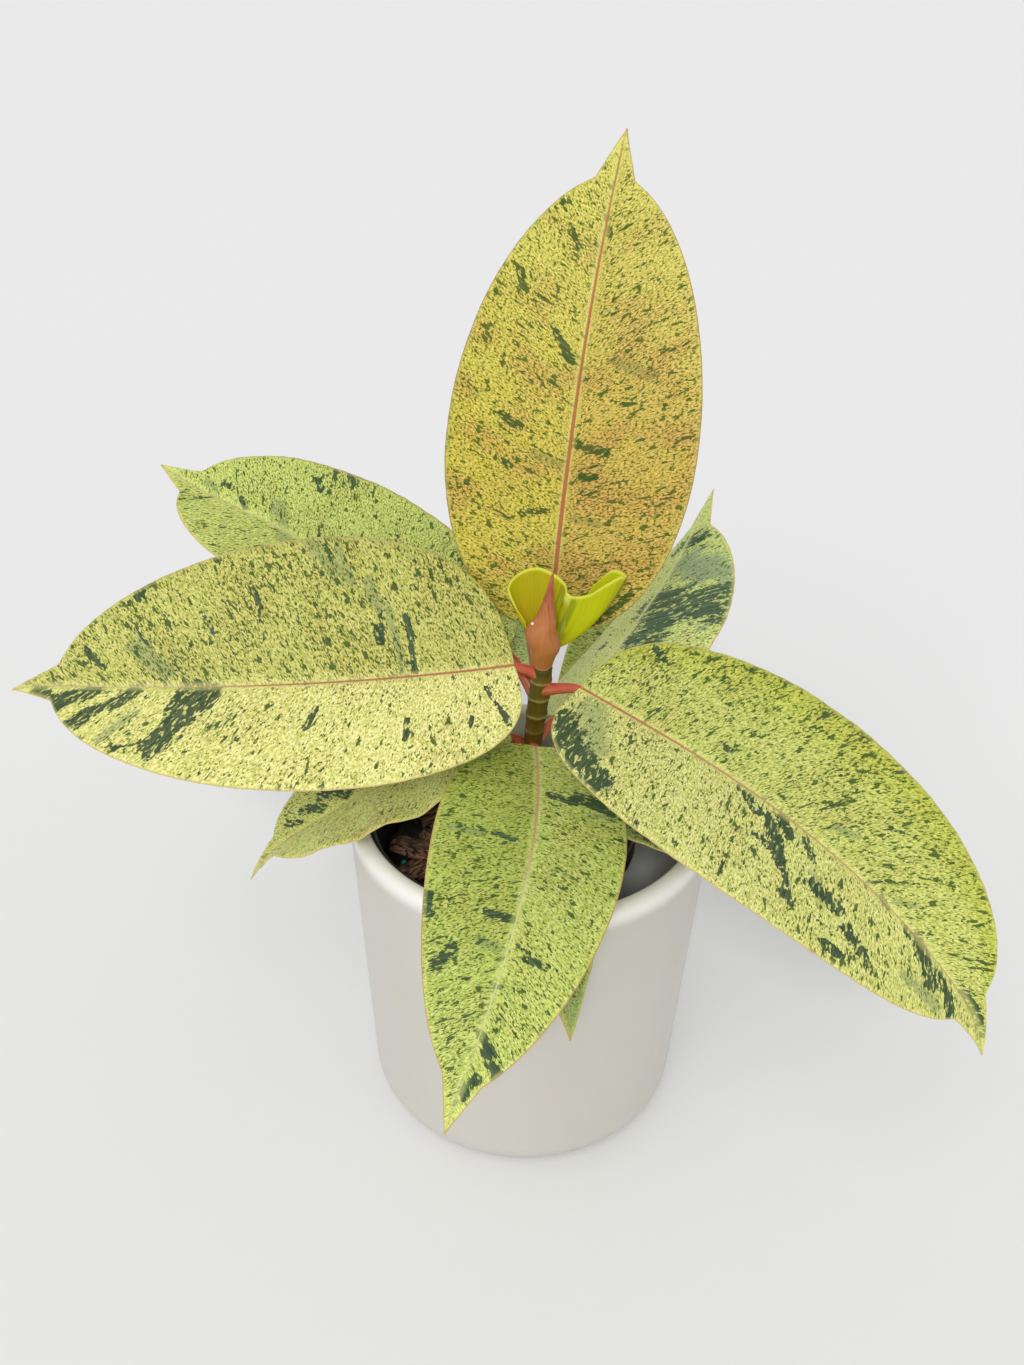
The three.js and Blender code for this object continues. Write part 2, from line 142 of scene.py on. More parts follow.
def millimetres(skin):
    """The place on the object in millimetres."""
    place = skin.node("TexCoord", None, None, "Object")
    return place.node("VectorMath", {"operation": "SCALE"}, {0: place, "Scale": 1 / MM}, "Vector")


def attribute(skin, name, output="Vector"):
    return skin.node("Attribute", {"attribute_name": name}, None, output)


def made_of(name, skin, *given):
    """A new material. skin gives a link or a number for sockets of its surface shader."""
    material = bpy.data.materials.new(name)
    material.use_nodes = True
    tree = material.node_tree
    sockets = tree.nodes["Principled BSDF"].inputs
    for socket, value in skin(Shade(tree), *given).items():
        if isinstance(value, Shade):
            tree.links.new(value.socket, sockets[socket])
        else:
            sockets[socket].default_value = value
    return material


def rounded(corners, steps=10):
    """A profile through (radius, height, rounding) corners, each with an arc of that rounding."""
    points = []
    for i, (radius, height, rounding) in enumerate(corners):
        here = Vector((radius, height))
        if not rounding:
            points.append(here)
            continue
        back = (Vector(corners[i - 1][:2]) - here).normalized()
        ahead = (Vector(corners[i + 1][:2]) - here).normalized()
        half = back.angle(ahead) / 2
        centre = here + (back + ahead).normalized() * (rounding / math.sin(half))
        start = here + back * (rounding / math.tan(half)) - centre
        end = here + ahead * (rounding / math.tan(half)) - centre
        points += [centre + start.slerp(end, k / steps) * rounding for k in range(steps + 1)]
    return points


def turned(profile, steps):
    """A closed body turned about the Z axis from a profile that starts and ends on the axis."""
    bm = bmesh.new()
    line = [bm.verts.new((radius, 0, height)) for radius, height in profile]
    for first, second in zip(line, line[1:]):
        bm.edges.new((first, second))
    bmesh.ops.spin(
        bm, geom=bm.verts[:] + bm.edges[:], cent=(0, 0, 0), axis=(0, 0, 1),
        angle=2 * math.pi, steps=steps, use_merge=True,
    )
    bmesh.ops.remove_doubles(bm, verts=bm.verts, dist=SEAM)
    bmesh.ops.recalc_face_normals(bm, faces=bm.faces)
    return bm


def placed(bm, name, materials):
    """The mesh as a smooth object in the scene."""
    for face in bm.faces:
        face.smooth = True
    mesh = bpy.data.meshes.new(name)
    bm.to_mesh(mesh)
    bm.free()
    for material in materials:
        mesh.materials.append(material)
    made = bpy.data.objects.new(name, mesh)
    bpy.context.scene.collection.objects.link(made)
    return made


def finished(bm, name, materials, slot, *nodes):
    """The finished piece: it rides on the part's one body and stands for its solids."""
    made = placed(bm, name, materials)
    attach(made, "root")
    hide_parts(*nodes)
    return made


def glaze_skin(skin):
    place = millimetres(skin)
    pooled = place.grain((0.05, 0.05, 0.02))
    # Painted shade: the outer wall's glaze is painted grey, though the glaze is white.
    glazed = pooled.mix(0xcdcac4, 0xc6c2b6)
    # Painted highlight: the glaze is painted whiter up over the rounded lip.
    glazed = place.part("Z").between(*LIP_PAINTED_HIGHLIGHT).mix(glazed, 0xf3f1ed)
    # Painted light: the inside of the pot, which lies in shade, is painted whiter.
    level = place.times((1, 1, 0))
    outward = level.node("VectorMath", {"operation": "LENGTH"}, {0: level}, "Value")
    depth = outward - place.part("Z") * POT_FLARE - (bottom - POT_WALL / 2) / MM
    inside = (1 - depth.between(-1, 1)) * place.part("Z").between(*INSIDE_PAINTED_LIGHT)
    glazed = inside.mix(glazed, 0xf7f5f1)
    specks = place.grain((0.9, 0.9, 0.9), 1).between(0.8, 0.82)
    glazed = (specks * 0.2).mix(glazed, 0xb3a893)
    bare = 1 - place.part("Z").between(*BARE_RING)
    return {
        "Base Color": bare.mix(glazed, 0xcfc3b2),
        "Roughness": 0.22 + place.grain((0.12, 0.12, 0.12)) * 0.06 + bare * 0.4,
        "Normal": place.grain((0.06, 0.06, 0.06)).bump(0.05 * MM),
    }


bottom = POT_FOOT - POT_FLARE * POT_FOOT_ROUND
top = POT_RIM + POT_FLARE * POT_LIP
pot = turned(rounded([
    (0, 0, 0), (bottom, 0, POT_FOOT_ROUND), (top, POT_HEIGHT, POT_LIP),
    (top - POT_WALL, POT_HEIGHT, POT_LIP_INSIDE), (POT_FOOT - POT_WALL, POT_FLOOR, POT_CORNER),
    (0, POT_FLOOR, 0),
]), POT_STEPS)
for vert in pot.verts:
    swell = noise.noise(vert.co * CASTING_WAVES) * CASTING_SWELL
    vert.co += Vector((vert.co.x, vert.co.y, 0)).normalized() * swell
finished(pot, "cover_pot", [made_of("satin_white_glaze", glaze_skin)], "white_glaze", "pot")

# The nursery pot
# The thin black polypropylene pot that the plant was grown in, moulded in one piece with a
# stiff band round its rim. It stands inside the cover pot, over to the left.
CLEAR = 0.3 * MM  # between pieces that only stand in each other
NURSERY = Vector((-9 * MM, 0, 0))
NURSERY_FOOT = POT_FLOOR + CLEAR
NURSERY_TOP = 116 * MM
NURSERY_RIM = 46 * MM
NURSERY_BAND = 7 * MM
NURSERY_STEP = 1.2 * MM
NURSERY_BASE = 33 * MM
NURSERY_WALL = 1.2 * MM
NURSERY_FOOT_ROUND = 2 * MM
NURSERY_STEP_ROUND = 0.4 * MM
NURSERY_RIM_ROUND = 0.5 * MM
NURSERY_STEPS = 128


def nursery_radius(height):
    """Radius of the nursery pot's outside at a height."""
    share = (height - NURSERY_FOOT) / (NURSERY_TOP - NURSERY_FOOT)
    return NURSERY_BASE + (NURSERY_RIM - NURSERY_STEP - NURSERY_BASE) * share


def plastic_skin(skin):
    place = millimetres(skin)
    scuffed = place.grain((0.6, 0.6, 0.15)).between(0.5, 0.75)
    dusty = place.grain((0.12, 0.12, 0.12)).between(0.45, 0.7) * 0.4
    return {
        "Base Color": dusty.mix(0x121213, 0x2c2824),
        "Roughness": 0.38 + scuffed * 0.2,
        "Normal": place.grain((1.6, 1.6, 1.6)).bump(0.03 * MM),
    }


band = NURSERY_TOP - NURSERY_BAND
nursery = turned(rounded([
    (0, NURSERY_FOOT, 0), (NURSERY_BASE, NURSERY_FOOT, NURSERY_FOOT_ROUND),
    (nursery_radius(band), band, NURSERY_STEP_ROUND), (NURSERY_RIM, band, NURSERY_RIM_ROUND),
    (NURSERY_RIM, NURSERY_TOP, NURSERY_RIM_ROUND),
    (NURSERY_RIM - NURSERY_WALL, NURSERY_TOP, NURSERY_RIM_ROUND),
    (nursery_radius(band) - NURSERY_WALL, band - NURSERY_WALL, NURSERY_STEP_ROUND),
    (NURSERY_BASE - NURSERY_WALL, NURSERY_FOOT + NURSERY_WALL, NURSERY_FOOT_ROUND / 2),
    (0, NURSERY_FOOT + NURSERY_WALL, 0),
], 5), NURSERY_STEPS)
bmesh.ops.translate(nursery, verts=nursery.verts, vec=NURSERY)
plastic = made_of("black_polypropylene", plastic_skin)
finished(nursery, "nursery_pot_wall", [plastic], "black_plastic", "nursery_pot")

# The potting mix
# Dark peat that fills the nursery pot, with a crumbly top. It closes round the plain hole
# that the stem stands in.
MIX_TOP = 99 * MM
MIX_SHOULDER = 3 * MM
MIX_FOOT = NURSERY_FOOT + NURSERY_WALL + CLEAR
MIX_FOOT_ROUND = 2 * MM
MIX_RINGS = 44
MIX_STEPS = 176
CRUMB = 1.1 * MM
STEM_FOOT = Vector((-5.5, 4, 80)) * MM
STEM_TOP = Vector((2.5, 0, 179)) * MM
STEM_RADIUS = 3.1 * MM
HOLE = STEM_RADIUS + 0.25 * MM
HOLE_FOOT = STEM_FOOT.z - CLEAR


def stem_at(height):
    """The stem's centre line at a height."""
    return STEM_FOOT.lerp(STEM_TOP, (height - STEM_FOOT.z) / (STEM_TOP.z - STEM_FOOT.z))


def peat_skin(skin):
    place = millimetres(skin)
    crumbs = place.grain((0.7, 0.7, 0.7), 6)
    fibres = place.grain((2.4, 0.4, 1.2), 3).between(0.62, 0.7)
    dark = crumbs.between(0.35, 0.65).mix(0x060504, 0x1d150f)
    return {
        "Base Color": (fibres * 0.5).mix(dark, 0x4a3423),
        "Roughness": 0.85 + crumbs * 0.15,
        "Normal": crumbs.bump(0.8 * MM),
    }


def mix_radius(height):
    return nursery_radius(height) - NURSERY_WALL - CLEAR


shoulder = MIX_TOP - MIX_SHOULDER
reach = mix_radius(shoulder)
rings = [(HOLE + (reach - HOLE) * i / MIX_RINGS, MIX_TOP) for i in range(MIX_RINGS + 1)]
mix = turned([
    (0, HOLE_FOOT), (HOLE, HOLE_FOOT), *rings, (reach, shoulder),
    (mix_radius(MIX_FOOT), MIX_FOOT + MIX_FOOT_ROUND),
    (mix_radius(MIX_FOOT) - MIX_FOOT_ROUND, MIX_FOOT), (0, MIX_FOOT),
], MIX_STEPS)
for vert in mix.verts:
    outward = math.hypot(vert.co.x, vert.co.y)
    middle = stem_at(vert.co.z) if vert.co.z > STEM_FOOT.z - MM else STEM_FOOT
    away = min(max((outward - HOLE) / (reach - HOLE), 0), 1) if vert.co.z > shoulder else 1
    if outward < HOLE + 0.01 * MM and vert.co.z > STEM_FOOT.z - MM:
        away = 0
    if vert.co.z > shoulder + MM and away > 0:
        place = vert.co / MM
        rough = noise.fractal(place * 0.16, 1, 2, 4) + 0.5 * noise.noise(place * 0.6)
        vert.co.z += CRUMB * rough * min(away * 6, 1)
    vert.co.xy += middle.xy.lerp(NURSERY.xy, away)
finished(mix, "peat", [made_of("peat_mix", peat_skin)], "peat", "potting_mix")

# The bark chips
# Composted pine bark strewn on the mix: flat flakes with torn ends, the outer face brown
# and cracked, the inner one paler and fibrous.
BARK_COUNT = 64
BARK_SPREAD = 32 * MM
BARK_BED = MIX_TOP + 1.2 * MM
BARK_LENGTH = 15 * MM
BARK_WIDTH = 8.5 * MM
BARK_THICKNESS = 2.6 * MM
BARK_CLEAR = 8 * MM  # no chip lies nearer to the middle
BARK_HEAP = 1.8 * MM  # how much higher than the bed the topmost lie
BARK_SIZES = (0.6, 1.15)
BARK_TILT = (0.2, 0.16)  # the most that one tilts about its length and its width, in radians
BARK_BOW = 2 * MM
BARK_BEND = 0.9 * MM
BARK_SEED = 7  # for the draw, and for noise_vector here and below, which else differs each run
BARK_SHOWN = [  # chips that show in the gap at the left: place and turn
    (Vector((-41.2, -0.5, 102.6)) * MM, -0.49), (Vector((-41, -11, 101)) * MM, 0.9),
]
GOLDEN_ANGLE = math.pi * (3 - math.sqrt(5))


def bark_skin(skin):
    place = attribute(skin, "own_place")
    layers = place.grain((0.25, 0.9, 2.5), 5)
    cracks = place.grain((0.35, 1.3, 0.6), 3).between(0.42, 0.5)
    rind = place.part("Z").between(0.1, 0.6)
    wood = layers.between(0.3, 0.7).mix(0x7a5240, 0xbf8e74)
    brown = layers.between(0.35, 0.65).mix(0x4a3022, 0x8a6049)
    return {
        "Base Color": cracks.mix(0x1d130d, rind.mix(wood, brown)),
        "Roughness": 0.75 + layers * 0.2,
        "Normal": (layers + cracks * 0.6).bump(0.5 * MM),
    }


def add_chip(bm, draw, centre, turn, size):
    """One flake: a cube cut finer, flattened, tapered to torn ends and set down."""
    made = bmesh.ops.create_cube(bm, size=1)
    edges = list({edge for vert in made["verts"] for edge in vert.link_edges})
    made = bmesh.ops.subdivide_edges(bm, edges=edges, cuts=3, use_grid_fill=True)
    verts = {part for part in made["geom"] if isinstance(part, bmesh.types.BMVert)}
    verts |= {vert for edge in edges if edge.is_valid for vert in edge.verts}
    offset = Vector((draw.uniform(0, 90), draw.uniform(0, 90), draw.uniform(0, 90)))
    grain = bm.verts.layers.float_vector["own_place"]
    tilt, slope = (draw.uniform(-most, most) for most in BARK_TILT)
    lie = Matrix.Rotation(turn, 3, "Z") @ Matrix.Rotation(tilt, 3, "X") @ Matrix.Rotation(slope, 3, "Y")
    for vert in verts:
        taper = 1 - 1.1 * abs(vert.co.x) ** 2.2 * (0.6 + 0.8 * noise.noise(offset + vert.co))
        bent = Vector((
            vert.co.x * BARK_LENGTH * size,
            vert.co.y * BARK_WIDTH * size * taper,
            vert.co.z * BARK_THICKNESS * (0.7 + 0.3 * taper) - vert.co.y ** 2 * BARK_BOW,
        ))
        vert[grain] = bent / MM + offset
        vert[grain].z = vert.co.z + 0.4 * noise.noise(offset + vert.co * 3)
        bent += noise.noise_vector(offset + vert.co * 2.2) * BARK_BEND
        vert.co = centre + lie @ bent


noise.seed_set(BARK_SEED)
draw = random.Random(BARK_SEED)
bark = bmesh.new()
bark.verts.layers.float_vector.new("own_place")
for i in range(BARK_COUNT):
    outward = BARK_SPREAD * math.sqrt((i + 0.5) / BARK_COUNT)
    if outward < BARK_CLEAR:
        continue
    bearing = i * GOLDEN_ANGLE + 0.3 * draw.random()
    lift = BARK_BED + draw.uniform(0, BARK_HEAP)
    spot = Vector((outward * math.cos(bearing), outward * math.sin(bearing), lift)) + NURSERY
    add_chip(bark, draw, spot, draw.uniform(0, 2 * math.pi), draw.uniform(*BARK_SIZES))
for spot, turn in BARK_SHOWN:
    add_chip(bark, draw, spot, turn, 1)
bmesh.ops.recalc_face_normals(bark, faces=bark.faces)
finished(bark, "bark_flakes", [made_of("bark", bark_skin)], "bark", "bark_chips")

# The feed pellets
# Slow-release feed: small resin-coated beads, dyed teal, that lie among the chips where
# they were strewn.
PELLET_RADIUS = 1.2 * MM
PELLET_DENT = 0.12 * MM
PELLETS = [(-43.6, -7.1), (-31, -27), (-30, 27), (-14, 34), (18, 24), (27, -8), (8, -31), (-4, -36)]


def pellet_skin(skin):
    place = millimetres(skin)
    return {
        "Base Color": place.grain((0.5, 0.5, 0.5)).mix(0x0c5a4c, 0x2f9c86),
        "Roughness": 0.3 + place.grain((2, 2, 2)) * 0.2,
        "Normal": place.grain((1.5, 1.5, 1.5)).bump(0.1 * MM),
    }


pellets = bmesh.new()
for x, y in PELLETS:
    spot = Vector((x * MM, y * MM, MIX_TOP + PELLET_RADIUS))
    bmesh.ops.create_icosphere(
        pellets, subdivisions=3, radius=PELLET_RADIUS, matrix=Matrix.Translation(spot)
    )
for vert in pellets.verts:
    vert.co += noise.noise_vector(vert.co / MM * 0.5) * PELLET_DENT
finished(pellets, "feed_pellets", [made_of("teal_resin", pellet_skin)], "peat")

# The stem
# The upright shoot, still green-brown and not yet woody. A pale ring marks each node, where
# a leaf's sheath has fallen away, and it swells a little there. Heights and widths of the
# nodes and the crown are in millimetres.
NODES = [114, 122, 131, 138, 147, 154, 160.2, 167.3, 174]
NODES_PALE = 158  # the rings above this height are still fresh and pale
NODE_SWELL = 0.35 * MM
NODE_WIDTH = 1.3
RING_WIDTH = 0.42
STEM_CROWN = 0.35 * MM  # how much thicker it is where the upper leaves stand close together
STEM_CROWN_AT = 168
STEM_CROWN_WIDTH = 9
STEM_WANDER = 0.2 * MM
STEM_ROWS = 260
STEM_SIDES = 48


def gridded(rows, columns, reach=0.5):
    """A flat grid that runs that far each way from the middle."""
    bm = bmesh.new()
    bmesh.ops.create_grid(bm, x_segments=rows, y_segments=columns, size=reach)
    return bm


def closed(bm, sides):
    """Merges the seam of a grid that is rolled into a tube, and fills its two ends."""
    bmesh.ops.remove_doubles(bm, verts=bm.verts, dist=SEAM)
    bmesh.ops.holes_fill(bm, edges=bm.edges, sides=sides + 1)
    bmesh.ops.recalc_face_normals(bm, faces=bm.faces)
    return bm


def wrapped(spot, rows, sides):
    """A closed tube through spot(along, turn), both from 0 to 1."""
    bm = gridded(rows, sides)
    for vert in bm.verts:
        vert.co = spot(vert.co.x + 0.5, vert.co.y + 0.5)
    return closed(bm, sides)


def stem_skin(skin):
    place = millimetres(skin)
    ring = attribute(skin, "ring", "Fac")
    streaks = place.grain((1.1, 1.1, 0.12), 3)
    young = place.part("Z").between(120, 178)
    olive = young.mix(0x5a3d0c, 0x524f04)
    olive = (streaks.between(0.35, 0.7) * 0.6).mix(olive, 0x6c540e)
    rusty = place.grain((0.35, 0.35, 0.05), 2).between(0.5, 0.62)
    olive = (rusty * 0.5).mix(olive, 0x743c14)
    pores = place.grain((1.5, 1.5, 0.7), 1).between(0.68, 0.72)
    olive = (pores * 0.5).mix(olive, 0x9a8a4c)
    dark = place.part("Z").between(176.2, 177.4)
    olive = (dark * 0.7).mix(olive, 0x3d3f08)
    return {
        "Base Color": (ring * 0.75).mix(olive, 0xae9c58),
        "Roughness": 0.42 + streaks * 0.2,
        "Specular IOR Level": 0.3,
        "Normal": (streaks + pores * 0.5).bump(0.15 * MM),
    }


def stem_spot(along, turn):
    middle = STEM_FOOT.lerp(STEM_TOP, along)
    height = middle.z / MM
    swell = sum(math.exp(-(((height - node) / NODE_WIDTH) ** 2)) for node in NODES)
    angle = 2 * math.pi * turn
    around = Vector((math.cos(angle), math.sin(angle), 0))
    radius = STEM_RADIUS * (1.05 - 0.05 * along) + NODE_SWELL * swell
    radius += STEM_CROWN * math.exp(-(((height - STEM_CROWN_AT) / STEM_CROWN_WIDTH) ** 2))
    radius += STEM_WANDER * noise.noise(around * 1.5 + Vector((0, 0, height * 0.12)))
    return middle + around * radius


stem = wrapped(stem_spot, STEM_ROWS, STEM_SIDES)
ring_mark = stem.verts.layers.float.new("ring")
for vert in stem.verts:
    height = vert.co.z / MM + 0.35 * noise.noise(vert.co / MM * 0.5)
    for node in NODES:
        fresh = 1 if node > NODES_PALE else 0.4
        vert[ring_mark] += fresh * math.exp(-(((height - node) / RING_WIDTH) ** 2))
finished(stem, "shoot", [made_of("green_brown_bark", stem_skin)], "woody_stem", "stem")

# The bud sheath
# The pointed salmon stipule that wraps the next leaf. It is thin and waxy, rolled so that
# one edge laps over the other down its front right, and it carries a drop of dried sap.
SHEATH_FOOT = STEM_TOP + Vector((0, 0, 0.3 * MM))
SHEATH = [  # radius and height in millimetres
    (2.9, 0), (3.3, 0.9), (4.1, 4), (5.0, 7.2), (5.3, 10), (5.1, 12.9),
    (4.2, 16.2), (3.1, 19.4), (1.8, 24.4), (1.0, 29.4), (0.3, 34.5),
]
SHEATH_LEAN = 2.1 * MM
SHEATH_SWINGS = [  # how far to the right it bulges, and that bulge's height and reach
    (0.5 * MM, 7.5, 2.6), (-1.2 * MM, 13.5, 3.6),
]
SHEATH_LAP = 0.35 * MM
SHEATH_ROWS = 120
SHEATH_SIDES = 96
SAP_RADIUS = 0.5 * MM
SAP_PLACE = (0.62, 0.56)  # how far up the sheath it hangs, and how far round


def smooth_line(points, share):
    """A point on the smooth curve through the points, which passes them at even shares."""
    last = len(points) - 1
    step = min(int(share * last), last - 1)
    t = share * last - step
    first, second = points[step], points[step + 1]
    before = points[step - 1] if step else first * 2 - second
    after = points[step + 2] if step + 2 <= last else second * 2 - first
    knots = [0]
    for a, b in ((before, first), (first, second), (second, after)):
        knots.append(knots[-1] + math.sqrt((b - a).length) + 1e-9)
    rise = (first - before) / (knots[1] - knots[0]) - (second - before) / (knots[2] - knots[0])
    start = (rise + (second - first) / (knots[2] - knots[1])) * (knots[2] - knots[1])
    fall = (second - first) / (knots[2] - knots[1]) - (after - first) / (knots[3] - knots[1])
    end = (fall + (after - second) / (knots[3] - knots[2])) * (knots[2] - knots[1])
    return (
        first * (2 * t**3 - 3 * t**2 + 1) + start * (t**3 - 2 * t**2 + t)
        + second * (3 * t**2 - 2 * t**3) + end * (t**3 - t**2)
    )


def sheath_spot(along, turn):
    """The sheath's surface: turn 0 is its right side, and it runs anticlockwise from above."""
    radius, height = smooth_line([Vector(pair) for pair in SHEATH], along)
    share = height / SHEATH[-1][1]
    angle = 2 * math.pi * turn
    lap = (turn - 0.86 + 0.5 * (share - 0.2) ** 2) % 1
    out = max(radius, 0.05) * MM + SHEATH_LAP * (lap - 0.5) * min(radius / 3, 1)
    swing = SHEATH_LEAN * share**2
    for bulge, middle, reach in SHEATH_SWINGS:
        swing += bulge * math.exp(-(((height - middle) / reach) ** 2))
    spot = Vector((out * math.cos(angle) + swing, out * math.sin(angle), height * MM))
    return SHEATH_FOOT + spot


def sheath_skin(skin):
    place = millimetres(skin)
    height = place.part("Z") - SHEATH_FOOT.z / MM
    streaks = place.grain((1.3, 1.3, 0.08), 4)
    warm = height.between(2, 16).mix(0xa86830, 0xb06a38)
    warm = height.between(17, 27).mix(warm, 0xa04c38)
    warm = (streaks.between(0.4, 0.62) * 0.4).mix(warm, 0xb87e3c)
    side = place.part("X") - STEM_TOP.x / MM
    rosy = (1 - side.between(-4.6, -2.2)) + side.between(1.8, 4.6) * 0.6
    warm = (rosy * 0.55).mix(warm, 0xb36848)
    collar = 1 - height.between(0.2, 1.4)
    return {
        "Base Color": (collar * 0.7).mix(warm, 0xd89c78),
        "Roughness": 0.4 + streaks * 0.15,
        "Subsurface Weight": 0.08,
        "Subsurface Radius": (0.002, 0.001, 0.0005),
        "Normal": streaks.bump(0.12 * MM),
    }


def sap_skin(skin):
    place = millimetres(skin)
    return {
        "Base Color": place.grain((2, 2, 2)).mix(0xf4efe2, 0xfffdf6),
        "Roughness": 0.15 + place.grain((3, 3, 3)) * 0.1,
    }


sheath = wrapped(sheath_spot, SHEATH_ROWS, SHEATH_SIDES)
finished(sheath, "stipule", [made_of("salmon_stipule", sheath_skin)], "salmon_sheath", "bud_sheath")
sap = bmesh.new()
drop_place = Matrix.Translation(sheath_spot(*SAP_PLACE))
bmesh.ops.create_icosphere(sap, subdivisions=3, radius=SAP_RADIUS, matrix=drop_place)
finished(sap, "sap_drop", [made_of("dried_sap", sap_skin)], "salmon_sheath")

# The young leaf
# The newest leaf, half unrolled behind the sheath: a broad lobe that hollows towards the
# front on the left, a crease, and a right lobe still rolled over into a trough. Its edge and
# its foot are points in millimetres.
YOUNG_EDGE = [
    (-3.5, 3.5, 193.5), (-8, 6, 200), (-9.5, 8.5, 204), (-6.5, 11.5, 207), (-0.5, 12.5, 209),
    (5, 11.5, 207.5), (9, 10, 204.5), (10, 8.5, 201.5), (16, 7, 202.5), (21.5, 6, 207),
    (26, 6.8, 209.6), (28.2, 9, 209), (24.5, 11.6, 209.5), (18, 13, 202.5),
]
YOUNG_FOOT = [
    (-2.5, 2.4, 190), (0.6, 5, 186), (4, 5.6, 184), (7, 5, 183.6), (9.2, 7, 184.4), (8.4, 10, 185.6),
]
YOUNG_MIDDLE = Vector((12, 8, 204)) * MM
YOUNG_BULGE = (2 * MM, 6 * MM)
YOUNG_THICKNESS = 0.7 * MM
YOUNG_COLUMNS = 220
YOUNG_ROWS = 60
YOUNG_FLUTE = 0.04 * MM
NOTCH = 7 / 13  # share of the edge at which the notch lies
CREASE = 0.25 * MM  # how deep the crease below the notch is
CREASE_SLANT = 0.05
CREASE_WIDTH = 0.012


def young_spot(turn, rise):
    low = smooth_line([Vector(xyz) * MM for xyz in YOUNG_FOOT], turn)
    high = smooth_line([Vector(xyz) * MM for xyz in YOUNG_EDGE], turn)
    out = (low.lerp(high, 0.5) - YOUNG_MIDDLE).normalized()
    most = YOUNG_BULGE[0] + (YOUNG_BULGE[1] - YOUNG_BULGE[0]) * turn
    bulge = most * math.sin(math.pi * rise) * math.sin(math.pi * turn)
    crease = math.exp(-(((turn - NOTCH - CREASE_SLANT * (1 - rise)) / CREASE_WIDTH) ** 2))
    spot = low.lerp(high, rise) + out * (bulge - CREASE * crease)
    flutes = math.sin(turn * 150 + 2 * noise.noise(Vector((turn * 9, rise * 2, 3))))
    return spot + out * (YOUNG_FLUTE * flutes)


def young_skin(skin):
    place = attribute(skin, "roll")
    turn = place.part("X")
    rise = place.part("Y")
    fine = place.grain((260, 4, 1), 3)
    broad = place.grain((50, 3, 1), 3)
    left = rise.between(0.15, 0.8).mix(0xb09c00, 0xaca400)
    right = rise.between(0, 0.7).mix(0xa9a400, 0xb6bc02)
    lime = turn.between(NOTCH - 0.03, NOTCH + 0.03).mix(left, right)
    tan = broad.between(0.45, 0.7) * (1 - turn.between(0.3, 0.5))
    lime = (tan * 0.45).mix(lime, 0xc29a1c)
    green = turn.between(0.38, 0.47) * (1 - turn.between(0.56, 0.62)) * broad.between(0.42, 0.55)
    lime = (green * 0.6).mix(lime, 0x5f7306)
    lime = (fine.between(0.5, 0.66) * 0.3).mix(lime, 0x7f8f08)
    off = turn - NOTCH - CREASE_SLANT * (1 - rise)
    crease = off.between(-CREASE_WIDTH, 0) * (1 - off.between(0, CREASE_WIDTH))
    lime = (crease * 0.5).mix(lime, 0x9a9a55)
    rim = rise.between(0.955, 0.985)
    curl = turn.between(NOTCH - 0.05, NOTCH - 0.02) * (1 - turn.between(NOTCH, NOTCH + 0.03))
    lime = (curl * rise.between(0.86, 0.95) * 0.8).mix(lime, 0xdbe06a)
    return {
        "Base Color": (rim * 0.75).mix(lime, 0xdcdf50),
        "Roughness": 0.4 + fine * 0.15,
        "Specular IOR Level": 0.2,
        "Normal": fine.bump(0.1 * MM),
    }


young = gridded(YOUNG_COLUMNS, YOUNG_ROWS)
roll = young.verts.layers.float_vector.new("roll")
for vert in young.verts:
    vert[roll] = (vert.co.x + 0.5, vert.co.y + 0.5, 0)
    vert.co = young_spot(vert[roll].x, vert[roll].y)
lime = made_of("lime_young_leaf", young_skin)
young_leaf = finished(young, "unrolling_leaf", [lime], "lime_leaf", "young_leaf")
wall = young_leaf.modifiers.new("wall", "SOLIDIFY")
wall.thickness = YOUNG_THICKNESS
wall.offset = 0

# The leaves
# Eleven leaves, each on its own stalk from a node of the stem. A blade is thick and satin:
# cream flecks on an olive ground, fine dark specks, and broken blue-green streaks along its
# side veins. The coral stalk runs on under it as its midrib. Sizes without MM are millimetres.
BLADE_THICKNESS = 0.8 * MM
BLADE_EDGE = 0.45  # share of that thickness left at the margin
BLADE_POINT = 0.35  # half width at the very tip
BLADE_ROWS = 180
BLADE_BLEND = 2.2  # how the body runs into the drip tip: lower is more gradual
BLADE_HALF = 26
BLADE_CROWDING = 1.5  # higher puts the columns closer together towards the midrib
BLADE_TAPER = 1.5  # the blade thins over this last stretch before its margin
HOOK_REACH = 1.4  # the tip's bend starts this far back, in lengths of the drip tip
MARK_FRAY = 1.15  # how much wider than its width a mark frays
VEIN_GAP = 5.5  # from one side vein to the next
VEIN_SLANT = 80  # degrees from the midrib at the blade's foot
VEIN_LEAN = 34  # how many degrees less than that at its tip
VEIN_RELIEF = 0.1
MIDRIB_GROOVE = 0.28
MIDRIB_HALF = 0.9
BUCKLE = 0.5  # how far the blade wanders from a true surface
EDGE_BUCKLE = 0.35
STALK_RADIUS = 2
STALK_FLARE = 0.55  # how much thicker it is at the stem, and over which share of it
STALK_FLARE_REACH = 0.22
STALK_BENDS = (0.45, 0.2)  # handles of its bend at the stem and the blade, in lengths of it
RIB_RADIUS = 1.5
RIB_POINT = 0.5
RIB_SINK = 0.85  # how deep the cord lies under the blade, in radii of it
RIB_END = 0.95  # share of the blade at which the midrib's cord ends
STALK_STEPS = 22
STALK_SIDES = 24
LEAF_OLIVE = (0.58, 0.62, 0.36)  # the olive ground's share of the cream's red, green and blue
LEAF_HEM = 0xc3c940
LEAF_HEM_EDGE = 0xe6ec6c
LEAF_GLOW = 2 * MM  # how far light passes in the blade
LEAF_BLUSH = 0xd9a066
LEAF_SCORCH = 0x9c7b3c
LEAF_BORDER = 0xe3dc88
